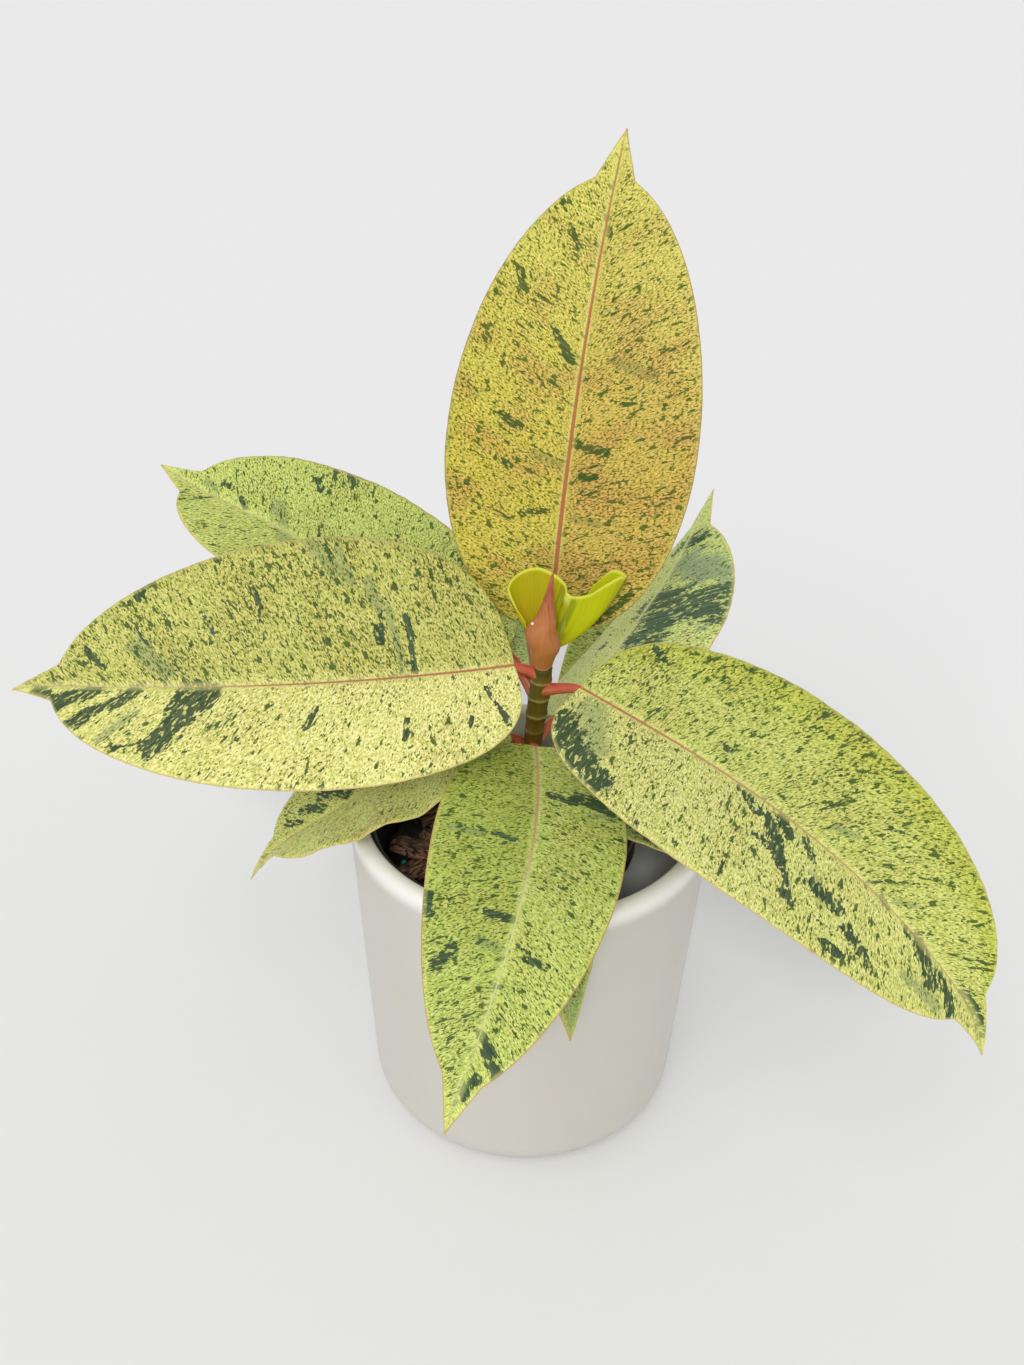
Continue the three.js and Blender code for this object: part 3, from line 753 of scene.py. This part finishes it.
LEAF_BACK = 0xb9c78f
UNDER_PALE = 0.45  # how much of that colour the underside takes

# What most leaves share. Lengths are millimetres and angles degrees. left and right are the
# colours of the two halves, and far is the colour towards the tip. hem, blush and brown are
# how much the left edge is yellow, the blade is blushed and it is scorched. specks are how
# much more speckled the left and right halves are. rib is the midrib's colour near the stem,
# and it fades to rib_far between two shares of the length. A mark is dark and a ghost is
# greyish: each is a line with its width, along and across at its start, then at its end, as
# shares of the length and of the half width. hook is how far the tip bends left and up.
COMMON = {
    "turn": 0, "roll": 0, "twist": 0, "fold": 10, "cup": -5,
    "basal": 0.47, "apical": 0.5, "drip": 14, "drip_width": 6,
    "left_share": 1, "wave": 0, "waves": 5, "far": 0xb9c46c, "far_amount": 0.3,
    "hem": 0, "blush": 0.1, "brown": 0, "speck": 0x3e5c18, "deep": 0x2e4630,
    "ghost": 0x788a62, "ghost_amount": 0.5, "specks": (0, 0), "streaks": 0,
    "rib": 0xb0694b, "rib_far": 0xcdbd84, "rib_fades": (0.25, 0.6), "rib_width": 0.62,
    "hook": (0, 0), "margin": 0xc9ae76, "marks": [], "ghosts": [],
}
LEAVES = {
    "leaf_top": {
        "node": 170, "stalk_rise": 47, "stalk": 20.5, "azimuth": 79, "turn": -9,
        "rise": 73, "end_rise": 56, "droop": 1.1, "roll": -1, "twist": -4,
        "length": 162, "half_width": 41.7, "basal": 0.43, "apical": 0.55, "fold": 7, "cup": -9,
        "drip": 16.5, "drip_width": 6.8,
        "slot": "blush_leaf", "left": 0xdcc95c, "right": 0xdabd64, "far": 0xe6e080,
        "far_amount": 0.75, "blush": 0.45, "speck": 0x4b6010, "deep": 0x3a5214,
        "ghost": 0x857f45, "specks": (0.02, 0.015), "streaks": 0.025,
        "rib": 0xad5c38, "rib_far": 0xb87442, "rib_fades": (0.6, 0.9), "rib_width": 0.95,
        "margin": 0xb5805a,
        "marks": [
            (0.7, 0.78, 0.66, 0.65, 2.6), (0.79, 0.42, 0.76, 0.27, 1.9), (0.85, 1, 0.84, 0.83, 1.9),
            (0.42, 0.58, 0.4, 0.4, 1.9), (0.33, 0.57, 0.32, 0.45, 2.3), (0.38, -0.03, 0.37, -0.3, 2.9),
            (0.6, 0.3, 0.54, 0.08, 2.2), (0.47, -0.28, 0.47, -0.53, 1.3), (0.23, 0.35, 0.24, 0.15, 2),
            (0.83, 0.02, 0.79, -0.08, 1.9), (0.03, -0.87, 0.1, -0.88, 2), (0.32, -0.12, 0.32, -0.25, 1.6),
        ],
        "ghosts": [
            (0.35, 0.28, 0.33, 0.07, 3.2), (0.55, -0.28, 0.53, -0.6, 3.8), (0.23, -0.12, 0.23, -0.35, 2.6),
        ],
    },
    "leaf_left": {
        "node": 175.5, "stalk_rise": 28.6, "stalk": 10.9, "azimuth": 197, "turn": -22,
        "rise": 0, "end_rise": -2, "droop": 1.3, "roll": -26, "twist": -5,
        "length": 161, "half_width": 46, "left_share": 0.91, "basal": 0.33, "apical": 0.52,
        "fold": 12, "cup": -3, "drip_width": 6.4, "hook": (1.5, -1),
        "slot": "cream_leaf", "left": 0xf8f3a8, "right": 0xd4d07c, "far": 0xdeda88,
        "far_amount": 0.4, "specks": (-0.035, 0.01), "rib_fades": (0.45, 0.75),
        "marks": [
            (0.94, 0.6, 0.89, 0.58, 5), (0.9, 0.64, 0.83, 0.1, 5.5), (0.75, 0.05, 0.87, 0.9, 4.2),
            (0.66, 0.03, 0.68, 0.26, 2.8), (0.61, 0.05, 0.7, 0.67, 8), (0.71, 0.62, 0.77, 0.82, 1.5),
            (0.4, 0.23, 0.42, 0.41, 1.9), (0.23, 0.41, 0.24, 0.59, 1.9), (0.11, 0.52, 0.12, 0.61, 1.5),
            (0.07, 0.24, 0.045, 0.82, 1.7), (0.76, -1, 0.74, -1.1, 2.9), (0.64, -0.71, 0.6, -0.44, 1),
            (0.51, -0.58, 0.5, -0.33, 1), (0.86, -0.64, 0.82, -0.25, 1.9), (0.27, -0.4, 0.27, -0.24, 1.3),
            (0.26, -0.53, 0.255, -0.27, 1.3), (0.205, -0.49, 0.2, -0.04, 1.9),
        ],
        "ghosts": [
            (0.41, -1.1, 0.34, -0.8, 5.2), (0.34, -1, 0.31, -0.74, 3.9), (0.28, -0.74, 0.26, -0.54, 3.6),
            (0.24, -0.54, 0.225, -0.04, 2.9), (0.76, -0.45, 0.7, -0.16, 6.4), (0.74, 0.32, 0.8, 0.79, 3.1),
        ],
    },
    "leaf_right": {
        "node": 169.8, "stalk_rise": 25, "stalk": 18.4, "azimuth": -38, "turn": -6,
        "rise": -5, "end_rise": -46, "droop": 2.2, "roll": 16, "twist": -5,
        "length": 169, "half_width": 38, "left_share": 1.02, "basal": 0.31, "apical": 0.44,
        "fold": 11, "drip_width": 6.8, "hook": (-3, -2),
        "slot": "cream_leaf", "left": 0xd2d680, "right": 0xe4e398, "far": 0xdfe088,
        "far_amount": 0.5, "hem": 0.6, "specks": (0, -0.02), "rib": 0xb5694c, "rib_far": 0xbf9468,
        "rib_fades": (0.05, 0.45),
        "marks": [
            (0.03, -0.7, 0.09, -0.8, 9), (0.09, -0.8, 0.18, -0.85, 8), (0.38, -0.02, 0.43, -0.15, 2.7),
            (0.45, -0.1, 0.53, -0.41, 3.5), (0.53, -0.41, 0.59, -0.67, 2.3), (0.46, -0.34, 0.5, -0.36, 2.3),
            (0.53, -0.08, 0.57, -0.21, 2.9), (0.59, -0.39, 0.66, -0.44, 4), (0.69, -0.54, 0.77, -0.75, 3.4),
            (0.68, -0.83, 0.72, -0.83, 2.5), (0.69, 0.02, 0.71, -0.02, 2), (0.75, -0.02, 0.77, -0.08, 2),
            (0.78, 0, 0.85, -0.34, 3.7), (0.85, -0.1, 0.91, -0.77, 2.8), (0.89, 0.085, 0.965, 0.53, 2.8),
            (0.47, -0.03, 0.51, -0.15, 2.4), (0.57, -0.64, 0.6, -0.7, 2.3), (0.61, 0.51, 0.64, 0.61, 1.2),
            (0.065, 0.93, 0.1, 0.75, 1.9), (0.29, 0.2, 0.32, 0.19, 1.5),
        ],
        "ghosts": [
            (0.05, -0.26, 0.13, -0.6, 10), (0.17, -0.77, 0.21, -0.87, 3.6), (0.81, -0.52, 0.88, -0.64, 3.9),
            (0.55, 0.19, 0.59, 0.27, 2.4), (0.71, 0.07, 0.74, 0.22, 1.7), (0.58, -0.28, 0.63, -0.46, 3.5),
        ],
    },
    "leaf_back_left": {
        "node": 165.6, "stalk_rise": 46, "stalk": 20, "azimuth": 145, "turn": 10,
        "rise": 8, "end_rise": 12, "droop": 1.2, "roll": 1, "twist": -15,
        "length": 151, "half_width": 34.5, "left_share": 0.95, "basal": 0.54, "apical": 0.48,
        "fold": 12, "cup": -3, "drip_width": 6.5, "hook": (-1.5, 1),
        "slot": "green_leaf", "left": 0xcfd67c, "right": 0xcbd47e, "far": 0xdde58c,
        "far_amount": 0.7, "streaks": 0.02,
        "marks": [
            (0.66, -0.8, 0.63, -0.68, 2.5), (0.84, -0.3, 0.81, -0.25, 1.8), (0.78, -0.16, 0.75, -0.035, 1.4),
        ],
        "ghosts": [(0.69, -0.28, 0.61, 0.14, 5), (0.88, -0.32, 0.84, -0.09, 2.5)],
    },
    "leaf_rear_left": {
        "node": 156, "stalk_rise": 35, "stalk": 20, "azimuth": 97,
        "rise": 8, "end_rise": -14, "droop": 1.2, "roll": 8,
        "length": 115, "half_width": 16, "basal": 0.55, "apical": 0.46,
        "slot": "green_leaf", "left": 0xc8d990, "right": 0xc2d28a, "specks": (-0.02, -0.02),
    },
    "leaf_back_right": {
        "node": 146.3, "stalk_rise": 30, "stalk": 13.5, "azimuth": 51, "turn": 14,
        "rise": 14, "end_rise": 32, "droop": 1.3, "roll": -26, "twist": -16,
        "length": 116, "half_width": 36, "left_share": 0.97, "apical": 0.6, "fold": -5,
        "cup": -18, "drip": 16.5,
        # Painted light: the left half is painted paler, with fewer specks, against its shade under leaf_top.
        "slot": "green_leaf", "left": 0xebf59a, "right": 0xe0eba0, "far": 0xe2ec94,
        "deep": 0x3a553f, "ghost": 0x8fa284, "ghost_amount": 0.8, "specks": (-0.09, -0.03),
        "rib": 0xe2dfa0, "rib_far": 0xe2e3a4, "rib_width": 0.9,
        "marks": [
            (0.76, 0.2, 0.81, -0.53, 5), (0.49, -0.2, 0.54, -1, 16), (0.35, -0.2, 0.39, -0.4, 10),
            (0.36, 0.3, 0.34, 0.37, 2.5),
        ],
        "ghosts": [
            (0.68, -0.3, 0.65, -0.89, 13), (0.42, -0.82, 0.45, -0.91, 2.1), (0.32, -0.21, 0.35, -0.5, 2.8),
        ],
    },
    "leaf_front": {
        "node": 145.4, "stalk_rise": 36, "stalk": 14, "azimuth": -84, "turn": -34,
        "rise": 1, "end_rise": -48, "droop": 1.4, "roll": -10, "twist": 8,
        "length": 141, "half_width": 29.5, "left_share": 0.96, "basal": 0.38, "apical": 0.59,
        "cup": -6, "drip": 15,
        "slot": "lime_green_leaf", "left": 0xc8d37a, "right": 0xb8c466, "far": 0xdce688,
        "far_amount": 0.7, "specks": (-0.015, 0), "speck": 0x3f5a1e,
        "rib": 0xc49a70, "rib_far": 0xd6d79a, "rib_fades": (0.3, 0.55), "margin": 0xb98d60,
        "marks": [
            (0.18, 0.16, 0.21, 0.42, 4.1), (0.19, 0.43, 0.22, 0.86, 4.7), (0.34, -0.42, 0.34, -0.21, 2.4),
            (0.54, -1, 0.58, -0.97, 3.2), (0.54, -0.36, 0.54, -0.035, 2.4), (0.64, -0.66, 0.69, -0.83, 4.1),
            (0.7, -0.55, 0.69, -0.33, 1.4), (0.69, -0.07, 0.69, 0.06, 2), (0.62, 0.24, 0.63, 0.51, 2.3),
            (0.79, -0.05, 0.8, 0.11, 2.3), (0.82, 0.27, 0.86, 0.96, 3.6), (0.91, 0.3, 0.88, 0.5, 3.4),
            (0.935, 0, 0.925, 0.4, 1.4),
        ],
        "ghosts": [
            (0.61, -0.36, 0.61, -0.09, 2.6), (0.35, -0.87, 0.35, -0.55, 3), (0.24, 0.58, 0.25, 0.82, 2.5),
        ],
    },
    "leaf_low_left": {
        "node": 142.2, "stalk_rise": 52, "stalk": 12, "azimuth": 194, "turn": -2,
        "rise": -16, "end_rise": -40, "droop": 1.3, "twist": 6,
        "length": 103, "half_width": 31.5, "apical": 0.52, "fold": 12, "cup": -3, "wave": 1.8,
        "hook": (2, -3),
        "slot": "olive_leaf", "left": 0xe5e796, "right": 0xdfe092, "far": 0xdcdd88,
        "specks": (-0.03, -0.02), "brown": 0.3, "blush": 0.2,
        "marks": [
            (0.66, -0.33, 0.57, -0.17, 4.5), (0.74, -0.37, 0.66, -0.15, 3.5), (0.81, -0.37, 0.76, -0.18, 3),
        ],
    },
    "leaf_rear_right": {
        "node": 126, "stalk_rise": 8, "stalk": 31, "azimuth": 66, "turn": 22,
        "rise": 5, "end_rise": 17, "droop": 0.7, "roll": -9,
        "length": 138, "half_width": 15.5, "basal": 0.52,
        "slot": "green_leaf", "left": 0xcfdb80, "right": 0xcad678, "specks": (-0.02, -0.02),
        "rib": 0xbf9468, "rib_far": 0xc8ae7c, "marks": [(0.35, -0.1, 0.42, -0.6, 3)],
    },
    "leaf_low_right": {
        "node": 131, "stalk_rise": 20, "stalk": 13, "azimuth": -30, "turn": -12,
        "rise": 12, "end_rise": -22, "droop": 1.6, "twist": -4,
        "length": 92, "half_width": 24, "apical": 0.56,
        "slot": "green_leaf", "left": 0xa8bc74, "right": 0xacbf7a, "specks": (0.02, 0.02),
        "streaks": 0.04,
    },
    "leaf_low_front": {
        "node": 119, "stalk_rise": 37, "stalk": 14, "azimuth": -84, "turn": 9,
        "rise": 20, "end_rise": -76, "droop": 1.9, "roll": -20, "twist": -5,
        "length": 104, "half_width": 16, "basal": 0.45, "apical": 0.58,
        "slot": "lime_green_leaf", "left": 0xaabd68, "right": 0xb2c068, "far": 0x9fb070,
        "far_amount": 0.6, "margin": 0xb8a04a,
    },
}


def heading(azimuth, rise):
    """The unit vector with this azimuth and this angle above the horizontal, in degrees."""
    azimuth, rise = math.radians(azimuth), math.radians(rise)
    level = math.cos(rise)
    return Vector((level * math.cos(azimuth), level * math.sin(azimuth), math.sin(rise)))


def heading_at(leaf, share):
    azimuth = leaf["azimuth"] + leaf["turn"] * share
    rise = leaf["rise"] + (leaf["end_rise"] - leaf["rise"]) * share ** leaf["droop"]
    return heading(azimuth, rise)


def half_width_at(leaf, share):
    """Half width of the blade: a rounded body and a drawn-out drip tip, in millimetres."""
    drip = leaf["drip"] / leaf["length"]
    body = min(share / (1 - drip), 1)
    widest = leaf["basal"] / (leaf["basal"] + leaf["apical"])
    round_part = (body / widest) ** leaf["basal"] * ((1 - body) / (1 - widest)) ** leaf["apical"]
    point = leaf["drip_width"] / leaf["half_width"] * min((1 - share) / drip, 1) * min(3 * share, 1)
    both = (round_part**BLADE_BLEND + point**BLADE_BLEND) ** (1 / BLADE_BLEND)
    return max(leaf["half_width"] * both, BLADE_POINT)


def midrib(leaf):
    """The midrib's share, place in millimetres, heading, left side and upper side at each row."""
    rows = []
    place = stem_at(leaf["node"] * MM) / MM + heading(leaf["azimuth"], leaf["stalk_rise"]) * leaf["stalk"]
    hooked = HOOK_REACH * leaf["drip"] / leaf["length"]
    last = 0
    for i in range(BLADE_ROWS + 1):
        share = (1 - math.cos(math.pi * i / BLADE_ROWS)) / 2
        place = place + heading_at(leaf, (share + last) / 2) * (leaf["length"] * (share - last))
        last = share
        forward = heading_at(leaf, share)
        swing = math.radians(leaf["azimuth"] + leaf["turn"] * share)
        left = Vector((-math.sin(swing), math.cos(swing), 0))
        left.rotate(Matrix.Rotation(math.radians(leaf["roll"] + leaf["twist"] * share), 3, forward))
        up = forward.cross(left)
        bend = max(1 - (1 - share) / hooked, 0) ** 2
        tip = (left * leaf["hook"][0] + up * leaf["hook"][1]) * bend
        rows.append((share, place + tip, forward, left, up))
    return rows


def vein_place(leaf, along, out):
    """Where a side vein through a spot leaves the midrib, and how far along the vein the spot is."""
    station = along
    for _ in range(4):
        slant = math.radians(VEIN_SLANT - VEIN_LEAN * min(max(station / leaf["length"], 0), 1))
        station = along - out / math.tan(slant)
    return station, out / math.sin(slant)


def nearness(marks, leaf, share, side, half):
    """1 on the line of the nearest mark, 0 at its edge and less outside it."""
    best = -2
    here = Vector((share * leaf["length"], side * half))
    for start_share, start_side, end_share, end_side, width in marks:
        start = Vector((start_share * leaf["length"], start_side * half_width_at(leaf, start_share)))
        line = Vector((end_share * leaf["length"], end_side * half_width_at(leaf, end_share))) - start
        t = min(max((here - start).dot(line) / line.length_squared, 0), 1)
        best = max(best, 1 - (here - start - line * t).length / (MARK_FRAY * width / 2))
    return best


def blade(leaf, rows, seed):
    """The blade's sheet: a grid bent to its outline, fold and droop, with what its skin reads."""
    bm = gridded(BLADE_ROWS, 2 * BLADE_HALF, 1)
    vein = bm.verts.layers.float_vector.new("vein")
    spread = bm.verts.layers.float_vector.new("spread")
    marks = bm.verts.layers.float_vector.new("marks")
    body = bm.verts.layers.deform.verify()
    for vert in bm.verts:
        row = round((vert.co.x + 1) / 2 * BLADE_ROWS)
        across = abs(vert.co.y) ** BLADE_CROWDING
        sign = 1 if vert.co.y > 0 else -1
        share, place, forward, left, up = rows[row]
        part = leaf["left_share"] if sign > 0 else 2 - leaf["left_share"]
        half = half_width_at(leaf, share)
        out = half * part * across
        station, run = vein_place(leaf, share * leaf["length"], out)
        mean = math.radians(leaf["fold"] + leaf["cup"] * across / 2)
        swing = math.sin(2 * math.pi * leaf["waves"] * share) * (1 - share)
        lift = leaf["wave"] * across**2 * swing
        lift += VEIN_RELIEF * math.cos(2 * math.pi * station / VEIN_GAP) * min(run / 6, 1)
        lift -= MIDRIB_GROOVE * math.exp(-((out / MIDRIB_HALF) ** 2)) * min(share * 12, 1)
        flat = Vector((share * leaf["length"], sign * out, seed * 50))
        lift += BUCKLE * noise.noise(flat / 26) * min(out / 10, 1)
        lift += EDGE_BUCKLE * noise.noise(flat / 9) * across**4
        spot = place + left * (sign * out * math.cos(mean)) + up * (out * math.sin(mean) + lift)
        vert.co = spot * MM
        vert[vein] = (station, sign * run, seed * 7.3)
        inset = half * part * (1 - across)
        vert[spread] = (share, sign * across, inset)
        vert[body][0] = min(inset / BLADE_TAPER, 1)
        streak = nearness(leaf["marks"], leaf, share, sign * across * part, half)
        ghost = nearness(leaf["ghosts"], leaf, share, sign * across * part, half)
        vert[marks] = (streak, ghost, out)
    _, place, _, _, up = rows[BLADE_ROWS // 3]
    nearest = min(bm.faces, key=lambda face: (face.calc_center_median() - place * MM).length)
    if nearest.normal.dot(up) < 0:
        bmesh.ops.reverse_faces(bm, faces=bm.faces)
    return bm


def blade_skin(skin, leaf, under):
    """The marbled skin of one leaf. The underside shows the same marbling, paler."""
    vein = attribute(skin, "vein")
    spread = attribute(skin, "spread")
    marks = attribute(skin, "marks")
    along, side, edge = spread.part("X"), spread.part("Y"), spread.part("Z")
    streak, ghost, rib = marks.part("X"), marks.part("Y"), marks.part("Z")
    broad = vein.grain((0.07, 0.04, 1), 3)
    drawn = vein.grain((0.42, 0.07, 1), 4)
    fibres = vein.grain((1.5, 0.05, 1), 3)
    flecks = vein.grain((1.9, 1, 2), 3)
    fine = vein.grain((1.9, 0.85, 1), 2)
    medium = vein.grain((0.65, 0.26, 1), 3)
    ragged = (drawn - 0.5) * 2.6 + (fine - 0.5) * 1.1

    left_half = side.between(-0.12, 0.12)
    pale = left_half.mix(leaf["right"], leaf["left"])
    pale = (along.between(0.3, 1) * leaf["far_amount"]).mix(pale, leaf["far"])
    pale = (side.between(0.45, 1) * leaf["hem"]).mix(pale, LEAF_HEM)
    blushed = broad.between(0.46, 0.62) * (1 - along.between(0.35, 0.9) * 0.6)
    pale = (blushed * leaf["blush"]).mix(pale, LEAF_BLUSH)
    olive = pale.times(LEAF_OLIVE)
    flesh = flecks.between(0.36, 0.62).mix(olive, pale)
    flesh = (fibres.between(0.5, 0.72) * 0.3).mix(flesh, olive)
    if leaf["brown"]:
        blotch = vein.grain((0.16, 0.1, 5), 4).between(0.56, 0.66)
        flesh = (blotch * leaf["brown"]).mix(flesh, LEAF_SCORCH)
    ghosted = (ghost + ragged).between(-0.3, 0.5)
    flesh = (ghosted * leaf["ghost_amount"]).mix(flesh, leaf["ghost"])

    left_specks, right_specks = leaf["specks"]
    crowd = left_half * (left_specks - right_specks) + right_specks + (broad - 0.5) * 0.15
    speck = fine + crowd
    kinds = vein.grain((0.8, 0.4, 2), 1).between(0.4, 0.62)
    dots = (kinds * 0.6).mix(leaf["speck"], leaf["deep"])
    flesh = (speck.between(0.52, 0.6) * 0.5).mix(flesh, olive.times(LEAF_OLIVE))
    flesh = (speck.between(0.585, 0.615) * 0.85).mix(flesh, dots)
    spots = (medium + crowd * 0.6).between(0.61, 0.63)
    flesh = (spots * 0.9).mix(flesh, dots)

    islands = 1 - vein.grain((0.9, 0.35, 3), 3).between(0.56, 0.6) * 0.85
    deep = (fibres.between(0.45, 0.7) * 0.35).mix(leaf["deep"], leaf["ghost"])
    wild = (drawn + broad * 0.4 + leaf["streaks"]).between(0.89, 0.905)
    flesh = (wild * islands * 0.9).mix(flesh, deep)
    marked = (streak + ragged).between(-0.03, 0.08)
    flesh = (marked * islands * 0.95).mix(flesh, deep)

    cord = along.between(*leaf["rib_fades"]).mix(leaf["rib"], leaf["rib_far"])
    flesh = ((1 - rib.between(0.8, 2.4)) * 0.35).mix(flesh, leaf["far"])
    rib_width = leaf["rib_width"] * (1 - along * 0.6)
    on_rib = (1 - (rib - rib_width).between(-0.15, 0.15)) * (1 - along.between(0.93, 0.99))
    flesh = (on_rib * 0.85).mix(flesh, cord)
    flesh = ((1 - edge.between(0.5, 1.8)) * 0.3).mix(flesh, LEAF_BORDER)
    margin = (left_half * leaf["hem"]).mix(leaf["margin"], LEAF_HEM_EDGE)
    flesh = ((1 - edge.between(0.12, 0.45)) * 0.75).mix(flesh, margin)
    if under:
        flesh = skin.node("Mix", {"data_type": "RGBA"}, {0: UNDER_PALE, 6: flesh, 7: colour(LEAF_BACK)}, 2)
    turns = vein.part("X") * (2 * math.pi / VEIN_GAP)
    relief = turns.calculate("COSINE", turns)
    return {
        "Base Color": flesh,
        "Roughness": (0.55 if under else 0.42) + fibres * 0.14,
        "Specular IOR Level": 0.2,
        "Subsurface Weight": 0.35,
        "Subsurface Radius": (1, 1.1, 0.4),
        "Subsurface Scale": LEAF_GLOW,
        "Normal": (fibres * 0.5 + fine * 0.25 + relief * 0.15).bump(0.1 * MM),
    }


def stalk_skin(skin, leaf):
    """The stalk's waxy coral skin, which fades along the midrib."""
    place = attribute(skin, "stalk")
    run = place.part("X")
    streaks = place.grain((0.2, 1.2, 1.2), 3)
    red = streaks.between(0.35, 0.65).mix(0xb4502f, 0xc66a3e)
    upper = place.part("Y").between(-0.3, 0.9)
    red = (upper * 0.5).mix(red, 0xbd4a3e)
    olive = (1 - run.between(-16, -11)) * 0.35
    red = olive.mix(red, 0xa8702a)
    below = run.between(25, 90).mix(red, 0xb9b679)
    first, last = (share * leaf["length"] for share in leaf["rib_fades"])
    above = run.between(first, last).mix(leaf["rib"], leaf["rib_far"])
    on_top = place.part("Y").between(0.5, 0.8) * run.between(-1, 4)
    return {
        "Base Color": on_top.mix(below, above),
        "Roughness": 0.28 + streaks * 0.15,
        "Coat Weight": 0.25,
        "Coat Roughness": 0.2,
        "Normal": streaks.bump(0.12 * MM),
    }


def stalk_line(leaf, rows):
    """The stalk and midrib's centre line: run past the blade's foot, place, radius and up."""
    stalk = heading(leaf["azimuth"], leaf["stalk_rise"])
    base, forward = rows[0][1], rows[0][2]
    start = stem_at(leaf["node"] * MM) / MM
    free = (base - start).length
    foot = base - rows[0][4] * (RIB_SINK * RIB_RADIUS)
    near, far = (free * bend for bend in STALK_BENDS)
    arc = interpolate_bezier(start, start + stalk * near, foot - forward * far, foot, STALK_STEPS)
    line = []
    for i, place in enumerate(arc):
        share = i / (STALK_STEPS - 1)
        radius = STALK_RADIUS + (RIB_RADIUS - STALK_RADIUS) * share
        radius += STALK_FLARE * math.exp(-((share / STALK_FLARE_REACH) ** 2))
        up = Vector((0, 0, 1)).lerp(rows[0][4], share)
        line.append((free * (share - 1), place, radius, up))
    for share, place, _, _, up in rows[4::3]:
        if share < RIB_END:
            radius = RIB_RADIUS + (RIB_POINT - RIB_RADIUS) * share
            line.append((share * leaf["length"], place - up * (RIB_SINK * radius), radius, up))
    return line


def stalk_body(line):
    """A tube round the centre line. Its skin reads how far along and which way round it is."""
    last = len(line) - 1
    bm = gridded(last, STALK_SIDES)
    own = bm.verts.layers.float_vector.new("stalk")
    for vert in bm.verts:
        i = round((vert.co.x + 0.5) * last)
        run, place, radius, up = line[i]
        along = (line[min(i + 1, last)][1] - line[max(i - 1, 0)][1]).normalized()
        side = along.cross(up).normalized()
        angle = 2 * math.pi * (vert.co.y + 0.5)
        around = side * math.cos(angle) + side.cross(along) * math.sin(angle)
        vert[own] = (run, math.sin(angle), math.cos(angle))
        vert.co = (place + around * radius) * MM
    return closed(bm, STALK_SIDES)


for seed, (name, own) in enumerate(LEAVES.items()):
    leaf = {**COMMON, **own}
    rows = midrib(leaf)
    skins = [
        made_of(name + "_upper", blade_skin, leaf, False), made_of(name + "_under", blade_skin, leaf, True),
    ]
    sheet = finished(blade(leaf, rows, seed), name + "_blade", skins, leaf["slot"], name)
    sheet.vertex_groups.new(name="body")
    body = sheet.modifiers.new("body", "SOLIDIFY")
    body.vertex_group = "body"
    body.thickness_vertex_group = BLADE_EDGE
    body.thickness = BLADE_THICKNESS
    body.offset = 0
    body.material_offset = 1
    skins = [made_of("stalk_" + leaf["slot"], stalk_skin, leaf)]
    finished(stalk_body(stalk_line(leaf, rows)), name + "_stalk", skins, leaf["slot"], name)

# The floor, the light and the camera
# A plain pale sweep under an even sky, with a broad key light from the upper left and a
# narrower fill light from the front that reaches into the pot. The camera looks down on it.
FLOOR_SIZE = 30
FLOOR_COLOURS = (0xebebeb, 0xeaeaea)
SKY_STRENGTH = 0.64
SUNS = {  # strength, breadth in degrees, and the way that the light goes
    "key": (0.85, 40, Vector((0.3, 0.9, -1))),
    "fill": (0.8, 8, Vector((0.1, 1.2, -1))),
}
CAMERA_PLACE = Vector((0, -0.4413, 0.4591))
CAMERA_YAW = math.radians(-0.967)
CAMERA_PITCH = math.radians(33)
CAMERA_ROLL = math.radians(1.398)
CAMERA_LENS = 56.25


def sweep_skin(skin):
    return {
        "Base Color": millimetres(skin).grain((0.002, 0.002, 0.002)).mix(*FLOOR_COLOURS),
        "Roughness": 0.9,
        "Specular IOR Level": 0.1,
    }


floor = placed(gridded(2, 2, FLOOR_SIZE / 2), "floor", [made_of("pale_sweep", sweep_skin)])

sky = bpy.data.worlds.new("studio")
sky.use_nodes = True
sky.node_tree.nodes["Background"].inputs["Color"].default_value = (1, 1, 1, 1)
sky.node_tree.nodes["Background"].inputs["Strength"].default_value = SKY_STRENGTH
bpy.context.scene.world = sky
for name, (strength, breadth, way) in SUNS.items():
    light = bpy.data.lights.new(name, "SUN")
    light.energy = strength
    light.angle = math.radians(breadth)
    sun = bpy.data.objects.new(name, light)
    sun.rotation_euler = way.to_track_quat("-Z", "Y").to_euler()
    bpy.context.scene.collection.objects.link(sun)

camera_data = bpy.data.cameras.new("camera")
camera_data.sensor_fit = "HORIZONTAL"
camera_data.sensor_width = 36
camera_data.lens = CAMERA_LENS
camera_data.clip_end = 100
level = math.cos(CAMERA_PITCH)
ahead = Vector((math.sin(CAMERA_YAW) * level, math.cos(CAMERA_YAW) * level, -math.sin(CAMERA_PITCH)))
aside = Vector((math.cos(CAMERA_YAW), -math.sin(CAMERA_YAW), 0))
aside.rotate(Matrix.Rotation(-CAMERA_ROLL, 3, ahead))
camera = bpy.data.objects.new("camera", camera_data)
turned_to = Matrix((aside, aside.cross(ahead), -ahead)).transposed()
camera.matrix_world = Matrix.Translation(CAMERA_PLACE) @ turned_to.to_4x4()
bpy.context.scene.collection.objects.link(camera)
bpy.context.scene.camera = camera
bpy.context.scene.view_settings.view_transform = "Standard"
